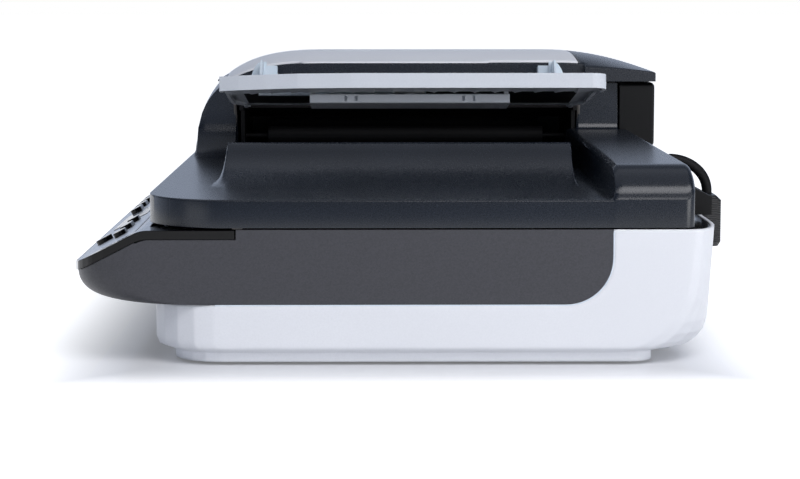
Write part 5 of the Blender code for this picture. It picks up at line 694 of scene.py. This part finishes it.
def cap_region(flat_x, flat_y):
    """1 where the light cap lies in the cover, 0 outside it."""
    along = rise_between(flat_x, FAR + CAP_END_INSET - STEEP, FAR + CAP_END_INSET)
    along = along * (1.0 - rise_between(flat_x, MOUTH - CAP_MOUTH_INSET, MOUTH - CAP_MOUTH_INSET + STEEP))
    across = rise_between(flat_y, -CAP_FRONT - STEEP, -CAP_FRONT)
    return along * across * (1.0 - rise_between(flat_y, CAP_REAR, CAP_REAR + STEEP))


def cover_top(x, y, flat_x, flat_y):
    """The skin, sunk where the cap lies in it."""
    return cover_skin(x, y, flat_x, flat_y) - (CAP_THICK + FIT) * cap_region(flat_x, flat_y)


def cover_under(x, y, flat_x, flat_y):
    """The cover's inner surface: a wall below the lowest outer height beside each place."""
    lowest = cover_top(x, y, flat_x, flat_y)
    for move_x, move_y in ((-1, 0), (1, 0), (0, -1), (0, 1)):
        beside = (flat_x + move_x * COVER_WALL, flat_y + move_y * COVER_WALL)
        lowest = np.minimum(lowest, cover_top(*beside, *beside))
    inside = cover_edge(flat_x, flat_y) > COVER_WALL * 1.01
    return np.where(inside, np.maximum(lowest - COVER_WALL, COVER_BOTTOM), COVER_BOTTOM)


def cover_warp(x, y):
    """Rounds the cover's far corners, leans the cap's rear seam and steps its seam at the mouth."""
    middle = (COVER_FAR + MOUTH + COVER_STEP) * HALF
    corners = (COVER_FRONT, COVER_REAR, COVER_CORNER, COVER_EDGE_ROUND)
    bent_x, bent_y = round_corners(x - middle, y, middle - COVER_FAR, *corners)
    at_far_end = x < middle
    out_x, out_y = np.where(at_far_end, bent_x + middle, x), np.where(at_far_end, bent_y, y)
    lean = np.clip((x + 180 * MM) / (62 * MM), -0.6, 1.0) * 3.5 * MM
    out_y = out_y + lean * np.clip(1.0 - np.abs(y - CAP_REAR) / (26 * MM), 0.0, 1.0)
    middle_part = rise_between(y, -79 * MM, -77 * MM) * (1.0 - rise_between(y, 63 * MM, 65 * MM))
    seam = MOUTH - CAP_MOUTH_INSET
    set_back = 4 * MM * (1.0 - middle_part) * np.clip(1.0 - np.abs(x - seam) / (2 * MM), 0.0, 1.0)
    back_far = 4 * MM * (1.0 - middle_part) * np.clip(1.0 - (seam - x) / (12 * MM), 0.0, 1.0)
    return out_x - np.where(x < seam, back_far, set_back), out_y


def make_cover():
    """The feeder's dark cover with its sunk field, the light cap in it, its hinge bar and two roller arms."""
    edges_x = [COVER_FAR + COVER_WALL, FAR + CAP_END_INSET, MOUTH - CAP_MOUTH_INSET, MOUTH]
    edges_y = [COVER_FRONT + COVER_WALL, -CAP_FRONT, -78 * MM, 64 * MM, CAP_REAR, COVER_STEP_PLACE]
    lines_x = grid_lines(COVER_FAR, MOUTH + COVER_STEP, 3.0 * MM, edges_x)
    lines_y = grid_lines(COVER_FRONT, COVER_REAR, 3.0 * MM, [*edges_y, COVER_REAR - COVER_WALL])

    def keep(x, y):
        return (x < MOUTH) | (y > COVER_STEP_PLACE)

    outer = softened(cover_top, 0.4 * MM)
    points, faces = height_shell(lines_x, lines_y, outer, cover_under, keep, cover_warp)
    put("feeder_cover_shell", points, faces, "lid_dark", "feeder_cover", ["adf_cover"])
    low_x, high_x = FAR + CAP_END_INSET + FIT, MOUTH - CAP_MOUTH_INSET - FIT
    low_y, high_y = -CAP_FRONT + FIT, CAP_REAR - FIT

    def cap_top(x, y, flat_x, flat_y):
        inside = np.minimum.reduce([flat_x - low_x, high_x - flat_x, flat_y - low_y, high_y - flat_y])
        return cover_skin(x, y, flat_x, flat_y) - edge_drop(inside, 0.6 * MM)

    def cap_under(x, y, flat_x, flat_y):
        return cover_skin(x, y, flat_x, flat_y) - CAP_THICK

    cap_x = grid_lines(low_x, high_x, 3.0 * MM, [])
    cap_y = grid_lines(low_y, high_y, 3.0 * MM, [-78 * MM, 64 * MM])
    points, faces = height_shell(cap_x, cap_y, cap_top, cap_under, lambda x, y: x < NEAR, cover_warp)
    put("feeder_cap", points, faces, "casing_white", "feeder_cover", ["adf_cap"])
    ends = BARREL_REACH + 3.3 * MM
    bar = [(1.5, -ends / MM), (1.5, -BARREL_REACH / MM), (3.2, -BARREL_REACH / MM)]
    bar = np.array(bar + [(radius, -y) for radius, y in bar[::-1]]) * MM
    points, faces = turned(bar, (COVER_AXIS[0], 0.0, COVER_AXIS[1]), (0.0, 1.0, 0.0))
    put("cover_hinge_bar", points, faces, "lid_dark", "feeder_cover")
    for name, side in (("front", -1.0), ("rear", 1.0)):
        y = PICK_PLACE[1] + side * (PICK_REACH + COVER_WALL * HALF)
        path = [(PICK_PLACE[0], y, z) for z in np.linspace(PICK_PLACE[2] - 4.5 * MM, 170 * MM, 3)]
        points, faces = carried(round_bar(COVER_WALL, 9 * MM, 0.8 * MM), path, (0.0, 1.0, 0.0))
        put(f"roller_arm_{name}", points, faces, "lid_dark", "feeder_cover")


# Dark band round the base

def nose_depth(z):
    """How far forward the band's nose reaches at one height: a power curve from its flat underside."""
    fall = np.clip((NOSE_HEIGHT - z) / (NOSE_HEIGHT - BAND_BOTTOM), 0.0, 1.0)
    reach = NOSE_REACH - FASCIA_THICK - NOSE_FLAT_DEPTH
    return NOSE_FLAT_DEPTH + reach * (1.0 - fall ** NOSE_POWER) ** (1.0 / NOSE_POWER)


def panel_line(y):
    """Height of the control panel along its depth: a slope that bends by a parabola into a flat."""
    rate = (PANEL_SLOPE_TOP - NOSE_HEIGHT) / (NOSE_REACH - PANEL_SLOPE_REAR)
    corner = -NOSE_REACH + (PANEL_TOP - NOSE_HEIGHT) / rate
    short = np.clip(corner + PANEL_BEND - y, 0.0, PANEL_BEND * 2)
    bend = PANEL_TOP - rate * short * short / (PANEL_BEND * 4)
    return np.where(y < corner - PANEL_BEND, NOSE_HEIGHT + (y + NOSE_REACH) * rate, bend)


def band_skin(around, height, inset):
    """The band's skin: around runs 0 to 1 from the far rear end round the nose to the near rear end.

    height runs 0 to 1 from the lower to the upper edge. The nose follows its power curve, its plan
    corners are quarter circles, and the lower edge rises in a quarter circle at the rear ends.
    """
    side = np.abs(around * 2.0 - 1.0)
    front_run, corner_run = 0.3, 0.2
    turn, reach = BAND_CORNER, BAND_CORNER - inset
    straight = np.clip((side - front_run - corner_run) / (1.0 - front_run - corner_run), 0.0, 1.0)
    angle = np.clip((side - front_run) / corner_run, 0.0, 1.0) * math.pi / 2
    side_y = -NOSE_REACH + turn + straight * (BAND_REAR + NOSE_REACH - turn)
    upper_y = np.where(straight > 0.0, side_y, -NOSE_REACH + FASCIA_THICK + turn * (1.0 - np.cos(angle)))
    low = np.clip((side_y - (BAND_REAR - BAND_REAR_ROUND)) / BAND_REAR_ROUND, 0.0, 1.0)
    bottom = BAND_BOTTOM + BAND_REAR_ROUND * arc_rise(low)
    top = np.where(upper_y < -PANEL_ARM_REAR, panel_line(upper_y) - PANEL_THICK - FIT, CASE_TOP)
    z = bottom + (top - bottom) * height
    nose = nose_depth(z)
    pulled = (NOSE_REACH - nose) * np.clip(1.0 - straight * 2.0, 0.0, 1.0)
    y = np.where(straight > 0.0, side_y + pulled, -nose + inset + reach * (1.0 - np.cos(angle)))
    half = NEAR - turn
    x = np.where(side < front_run, half * side / front_run, half + reach * np.sin(angle))
    return x * np.sign(around - HALF), y, z


def make_band():
    """The band: its skin and an inner skin a wall further in, joined into one closed ring profile."""
    along_corner = np.linspace(0.5, 0.75, 17)[1:]
    side_length = BAND_REAR + NOSE_REACH - BAND_CORNER
    panel_bend = 0.75 + 0.25 / side_length * np.linspace(0.0, 12 * MM, 9)
    arm_length = NOSE_REACH - BAND_CORNER - PANEL_ARM_REAR + np.array([-0.1, 0.1]) * MM
    arm_end = 0.75 + 0.25 / side_length * arm_length
    rear_run = 1.0 - 0.25 * BAND_REAR_ROUND / side_length * (1.0 - np.sin(np.linspace(0.0, math.pi / 2, 14)))
    corner_run = 0.65 + (along_corner - 0.5) * 0.4
    half_run = [0.5, 0.58, 0.65, *corner_run, *panel_bend, *arm_end, 0.85, 0.9, *rear_run]
    half_run = np.unique(np.round(half_run, 6))
    around = np.concatenate([1.0 - half_run[:0:-1], half_run])
    height = 1.0 - np.cos(np.linspace(0.0, math.pi / 2, 19))
    grid_around, grid_height = np.meshgrid(around, height, indexing="ij")
    outer = np.stack(band_skin(grid_around, grid_height, 0.0), -1)
    in_front = np.abs(grid_around * 2.0 - 1.0) < 0.5
    flange = np.where(in_front, 8 * MM * np.clip(1.0 - grid_height / 0.03, 0.0, 1.0), 0.0)
    inner = np.stack(band_skin(grid_around, grid_height, BAND_WALL + flange), -1)
    points = np.concatenate([outer, inner[:, ::-1]], 1)
    rows, columns = points.shape[:2]
    faces = cells(rows, columns, closed=True).tolist()
    faces.append(list(range(columns))[::-1])
    faces.append(list(range((rows - 1) * columns, rows * columns)))
    put("band_shell", points.reshape(-1, 3), faces, "band_grained", "base", ["upper_band"])


# Small pieces that the solids leave out

def make_beads():
    """The casing's bluish bead under the band: a half-round bar along its lower and rear edge."""
    turn = np.linspace(0.0, math.pi / 2, 16)
    centre = (BAND_REAR - BAND_REAR_ROUND, BAND_BOTTOM + BAND_REAR_ROUND)
    radius = BAND_REAR_ROUND + HALF * MM
    level_run = np.linspace(-118 * MM, centre[0], 12)[:-1]
    y = np.concatenate([level_run, centre[0] + radius * np.sin(turn), [BAND_REAR + HALF * MM]])
    low = np.full_like(level_run, centre[1] - radius)
    z = np.concatenate([low, centre[1] - radius * np.cos(turn), [CASE_TOP - STEEP]])
    for name, x in (("near", NEAR - 0.35 * MM), ("far", FAR + 0.35 * MM)):
        path = np.stack([np.full_like(y, x), y, z], -1)
        points, faces = carried(round_bar(1.0 * MM, 1.0 * MM, 0.45 * MM), path, (1.0, 0.0, 0.0))
        put(f"casing_bead_{name}", points, faces, "casing_white", "base", finish="bead")


def make_lips():
    """Lips down both sides of the mouth, flared at the top by a square curve, in a warm grey that is a
    painted highlight on the mouth's edges.
    """
    drop = np.linspace(0.0, 1.0, 18)
    for name, side, edge in (("front", -1.0, -BAY_FRONT), ("rear", 1.0, BAY_REAR)):
        flare = 5 * MM * np.clip(1.0 - drop * 2.2, 0.0, 1.0) ** 2
        y = edge + side * (flare + 1.0 * MM)
        z = FEEDER_SEAM - 3 * MM - drop * 30 * MM
        path = np.stack([np.full_like(y, MOUTH + 0.2 * MM), y, z], -1)
        points, faces = carried(round_bar(1.4 * MM, 2.6 * MM, 0.6 * MM), path, (1.0, 0.0, 0.0))
        # The warm grey finish is a painted highlight along the mouth's edges
        put(f"mouth_lip_{name}", points, faces, "lid_dark", "lid", finish="lip")


def tray_place(x, y, z):
    """Turns places in the tray's own frame up to its slope and moves them to its pivot."""
    slope = math.radians(TRAY_SLOPE_DEG)
    z = z + 1.1 * MM
    turned_x = TRAY_PIVOT[0] + x * math.cos(slope) - z * math.sin(slope)
    return np.stack([turned_x, y, TRAY_PIVOT[1] + x * math.sin(slope) + z * math.cos(slope)], -1)


def make_tray_shade_sheet():
    """A thin black sheet under the tray's plate, with two slots for the guides' necks: a painted shade on the
    tray's underside.
    """
    front_slot, rear_slot, half_slot = 112.6 * MM, 127.4 * MM, 4 * MM
    middle, inner, outer = 2 * MM, 34 * MM, 112 * MM
    slot_edges = [x + edge for x in (rear_slot, front_slot) for edge in (-half_slot, half_slot)]
    lines_x = np.unique(np.concatenate([np.linspace(20 * MM, 144 * MM, 12), slot_edges]))
    lines_y = np.linspace(-116 * MM, 122 * MM, 120)

    def keep(x, y):
        front = (np.abs(x - front_slot) < half_slot) & (y > middle - outer) & (y < middle - inner)
        rear = (np.abs(x - rear_slot) < half_slot) & (y > middle + inner) & (y < middle + outer)
        return ~(front | rear)

    surfaces = (level(-2.25 * MM), level(-2.7 * MM))
    points, faces = height_shell(lines_x, lines_y, *surfaces, keep, lambda x, y: (x, y))
    # Painted shade: a black sheet where the tray's underside lies in shade
    put("tray_shade_sheet", tray_place(*points.T), faces, "inner_black", "tray")


def make_tray_ribs():
    """The tray's near ledge with its row of ribs: one height function whose underside steps down at each rib.

    The grid is bent in plan as the tray's swept corner is: its near edge draws back by a square curve.
    """
    pitch, width, first = 13.9 * MM, 1.2 * MM, -120.5 * MM
    rib_y = first + pitch * np.arange(18)
    rib_edges = np.concatenate([rib_y - width * HALF, rib_y + width * HALF])
    between = np.linspace(-123 * MM, 129 * MM, 36)
    lines_y = np.unique(np.concatenate([[-124 * MM, 130 * MM], rib_edges, between]))
    lines_x = np.array([141.5, 146, 151, 157, 158, 164, 170, 176, 180, 183]) * MM

    def in_rib(y):
        return np.abs((y - first + pitch * HALF) % pitch - pitch * HALF) < width * HALF + 0.01 * MM

    def keep(x, y):
        return (x > 157 * MM) | in_rib(y)

    def warp(x, y):
        share = np.clip((y + 128 * MM) / (90 * MM), 0.0, 1.0)
        return np.maximum(x - 20 * MM * (1.0 - share) ** 2, 141 * MM), y

    def under(x, y, flat_x, flat_y):
        taper = 3 * MM * (1.0 - rise_between(flat_x, 141 * MM, 157 * MM)) ** 2
        return np.where(in_rib(flat_y), -9.95 * MM + taper, -9.3 * MM)

    points, faces = height_shell(lines_x, lines_y, level(-2.4 * MM), under, keep, warp)
    put("tray_ribs", tray_place(*points.T), faces, "tray_grey", "tray")


def make_gussets():
    """The curved gusset outside each paper guide: a quarter ellipse from the blade's top down to its foot."""
    turn = np.linspace(0.0, math.pi / 2, 14)
    for name, side in (("front", -1.0), ("rear", 1.0)):
        blade = 2 * MM + side * 107.4 * MM
        inner = [blade - side * 3.2 * MM]
        y = np.concatenate([inner, blade + side * 9.4 * MM * np.sin(turn), inner])
        z = np.concatenate([[26.5 * MM], 4 * MM + 22.5 * MM * np.cos(turn), [0.4 * MM]])
        y, z = np.insert(y, -1, y[-2]), np.insert(z, -1, 0.4 * MM)
        faces_x = np.array([31.4, 33.4]) * MM
        points = np.stack([np.repeat(faces_x, len(y)), np.tile(y, 2), np.tile(z, 2)], -1)
        faces = cells(2, len(y), closed=True)
        faces = (faces if side < 0.0 else faces[:, ::-1]).tolist()
        ends = [list(range(len(y))), list(range(len(y), len(y) * 2))]
        ends[0 if side < 0.0 else 1].reverse()
        put(f"guide_gusset_{name}", tray_place(*points.T), faces + ends, "guide_pale", f"guide_{name}")


def make_small_parts():
    """The lid's bumper: a flat bar with rounded edges, in the warm grey painted highlight instead of the
    black of its rubber.
    """
    path = [(x, -104.3 * MM, 84.0 * MM) for x in (236 * MM, 240 * MM, 244.6 * MM)]
    points, faces = carried(round_bar(6.4 * MM, 1.4 * MM, 0.5 * MM), path, (0.0, 1.0, 0.0))
    # Painted highlight: the bumper wears the warm grey edge finish, not black rubber
    put("lid_bumper", points, faces, "black_rubber", "lid", finish="lip")


def make_lead():
    """The feeder's lead: a quarter ellipse out of the lid's rail, then straight down into its plug.

    Its top starts at the lid's rail and its foot at the hinges' slider, with a smooth bend between them; it
    rides on neither.
    """
    turn = np.linspace(0.0, math.pi / 2, 24)
    bend_end = LEAD_EXIT_HEIGHT - LEAD_BEND_FALL
    y = LID_REAR + FIT + (LEAD_DROP_DEPTH - LID_REAR - FIT) * np.sin(turn)
    down = np.linspace(bend_end, LEAD_FOOT, 9)[1:]
    y = np.concatenate([y, np.full(len(down), LEAD_DROP_DEPTH)])
    z = np.concatenate([bend_end + LEAD_BEND_FALL * np.cos(turn), down])
    path = np.stack([np.full(len(z), LEAD_PLACE), y, z], -1)
    angle = np.linspace(0.0, math.pi * 2, 20, endpoint=False)
    section = LEAD_RADIUS * np.stack([np.cos(angle), np.sin(angle)], -1)
    points, faces = carried(section, path, (1.0, 0.0, 0.0))
    piece = put("feeder_lead", points, faces, "black_rubber", None, ["adf_cable"])
    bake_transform(piece)


# Stage, light and camera

def stage_paper(name, colour, near, far, gloss):
    """Pale satin paper that keeps the scanner's real shadow, with a painted glow for the rays that see it:
    weak beside the scanner's footprint, so that a painted shade lies round it, and rising to white a hand's
    width away.
    """
    material = bpy.data.materials.new(name)
    material.use_nodes = True
    tree = material.node_tree
    tree.nodes.clear()
    path = add(tree, "ShaderNodeLightPath").outputs
    larger = {"operation": "MAXIMUM"}
    seen = add(tree, "ShaderNodeMath", larger, links={0: path["Is Camera Ray"], 1: path["Is Glossy Ray"]})
    seen = add(tree, "ShaderNodeMath", larger, links={0: seen.outputs[0], 1: path["Is Transmission Ray"]})
    place = add(tree, "ShaderNodeTexCoord").outputs["Object"]
    away = add(tree, "ShaderNodeVectorMath", {"operation": "ABSOLUTE"}, links={0: place}).outputs[0]
    values = {1: (245 * MM, 155 * MM, 0.0)}
    away = add(tree, "ShaderNodeVectorMath", {"operation": "SUBTRACT"}, values, {0: away}).outputs[0]
    away = add(tree, "ShaderNodeSeparateXYZ", links={"Vector": away}).outputs
    away = add(tree, "ShaderNodeMath", larger, links={0: away["X"], 1: away["Y"]}).outputs[0]
    # Painted glow: weak within 10 cm of the scanner's footprint, so the floor there is painted darker, and
    # full beyond
    values = {"From Min": 0.0, "From Max": 0.10, "To Min": near, "To Max": far}
    settings = {"interpolation_type": "SMOOTHSTEP"}
    painted_glow = add(tree, "ShaderNodeMapRange", settings, values, {"Value": away}).outputs["Result"]
    product = {"operation": "MULTIPLY"}
    power = add(tree, "ShaderNodeMath", product, links={0: seen.outputs[0], 1: painted_glow}).outputs[0]
    matt = add(tree, "ShaderNodeBsdfDiffuse", values={"Color": shade(colour)}).outputs[0]
    shine = add(tree, "ShaderNodeBsdfGlossy", values={"Color": shade(colour), "Roughness": 0.10}).outputs[0]
    mixed = add(tree, "ShaderNodeMixShader", values={0: gloss}, links={1: matt, 2: shine}).outputs[0]
    light = add(tree, "ShaderNodeEmission", links={"Strength": power}).outputs[0]
    both = add(tree, "ShaderNodeAddShader", links={0: mixed, 1: light}).outputs[0]
    add(tree, "ShaderNodeOutputMaterial", links={"Surface": both})
    return material


def make_stage():
    """A wide level sheet of pale paper under the scanner."""
    across, along = np.linspace(-9.0, 9.0, 7), np.linspace(-16.0, 6.0, 9)
    grid_x, grid_y = np.meshgrid(along, across, indexing="ij")
    points = np.stack([grid_x, grid_y, np.zeros_like(grid_x)], -1).reshape(-1, 3)
    mesh = bpy.data.meshes.new("stage_sheet")
    mesh.from_pydata(points.tolist(), [], cells(*grid_x.shape)[:, ::-1].tolist())
    mesh.materials.append(stage_paper("stage_paper_painted_glow", "#dcdde0", 0.12, 0.9, 0.10))
    sheet = bpy.data.objects.new("stage_sheet", mesh)
    bpy.context.scene.collection.objects.link(sheet)


def soft_lamp(name, place, aim, size, power, tint):
    """A large soft lamp that looks at a point."""
    data = bpy.data.lights.new(name, "AREA")
    data.shape = "RECTANGLE"
    data.size, data.size_y = size
    data.energy = power
    data.color = shade(tint)[:3]
    lamp = bpy.data.objects.new(name, data)
    lamp.location = place
    lamp.rotation_euler = (Vector(aim) - Vector(place)).to_track_quat("-Z", "Y").to_euler()
    bpy.context.scene.collection.objects.link(lamp)


def make_light():
    """A studio: white where it is seen, a bright wall low behind the scanner, and soft lamps.

    The key lamp hangs in front and above, one lamp stands on either side, and a weak wide one hangs over it.
    """
    world = bpy.data.worlds.new("pale_studio")
    bpy.context.scene.world = world
    world.use_nodes = True
    tree = world.node_tree
    tree.nodes.clear()
    path = add(tree, "ShaderNodeLightPath").outputs
    larger = {"operation": "MAXIMUM"}
    rays = {0: path["Is Camera Ray"], 1: path["Is Transmission Ray"]}
    seen = add(tree, "ShaderNodeMath", larger, links=rays)
    ahead = add(tree, "ShaderNodeTexCoord").outputs["Generated"]
    parts = add(tree, "ShaderNodeSeparateXYZ", links={"Vector": ahead}).outputs
    smooth = {"interpolation_type": "SMOOTHSTEP"}
    values = {"From Min": 0.55, "From Max": 0.15, "To Min": 0.16, "To Max": 1.0}
    low = add(tree, "ShaderNodeMapRange", smooth, values, {"Value": parts["Z"]}).outputs["Result"]
    values = {"From Min": 0.1, "From Max": -0.5, "To Min": 0.6, "To Max": 1.0}
    behind = add(tree, "ShaderNodeMapRange", smooth, values, {"Value": parts["X"]}).outputs["Result"]
    wall = add(tree, "ShaderNodeMath", {"operation": "MULTIPLY"}, links={0: low, 1: behind}).outputs[0]
    power = add(tree, "ShaderNodeMath", larger, links={0: seen.outputs[0], 1: wall}).outputs[0]
    colours = {6: shade("#cfdcf4"), 7: shade("#ffffff")}
    tint = add(tree, "ShaderNodeMix", {"data_type": "RGBA"}, colours, {0: seen.outputs[0]}).outputs[2]
    room = add(tree, "ShaderNodeBackground", links={"Color": tint, "Strength": power})
    add(tree, "ShaderNodeOutputWorld", links={"Surface": room.outputs[0]})
    soft_lamp("lamp_key", (1.3, 0.65, 1.45), (0.0, 0.0, 0.08), (1.5, 0.8), 22.0, "#f8f8fc")
    soft_lamp("lamp_over", (-0.3, 0.0, 2.2), (-0.05, 0.0, 0.1), (2.4, 2.4), 8.0, "#f2f6ff")
    soft_lamp("lamp_front_side", (1.6, -1.6, 0.4), (0.2, 0.0, 0.06), (1.2, 0.6), 2.0, "#ffffff")
    soft_lamp("lamp_rear_side", (1.8, 1.3, 0.35), (0.2, 0.0, 0.06), (1.2, 0.8), 12.0, "#ffffff")


def make_camera():
    """The photograph's view: along -X, a little down and a little towards +Y."""
    data = bpy.data.cameras.new("view_camera")
    data.lens = CAMERA_LENS
    data.clip_start = 0.05
    camera = bpy.data.objects.new("view_camera", data)
    camera.location = CAMERA_PLACE
    pitch, yaw = math.radians(CAMERA_PITCH_DEG), math.radians(CAMERA_YAW_DEG)
    ahead = Vector((-math.cos(yaw) * math.cos(pitch), math.sin(yaw) * math.cos(pitch), -math.sin(pitch)))
    camera.rotation_euler = ahead.to_track_quat("-Z", "Y").to_euler()
    bpy.context.scene.collection.objects.link(camera)
    bpy.context.scene.camera = camera


make_camera()
dress_frame()
make_lid()
make_cover()
make_band()
make_beads()
make_lips()
make_tray_shade_sheet()
make_tray_ribs()
make_gussets()
make_small_parts()
make_lead()
make_stage()
make_light()
bpy.context.scene.view_settings.view_transform = "Standard"
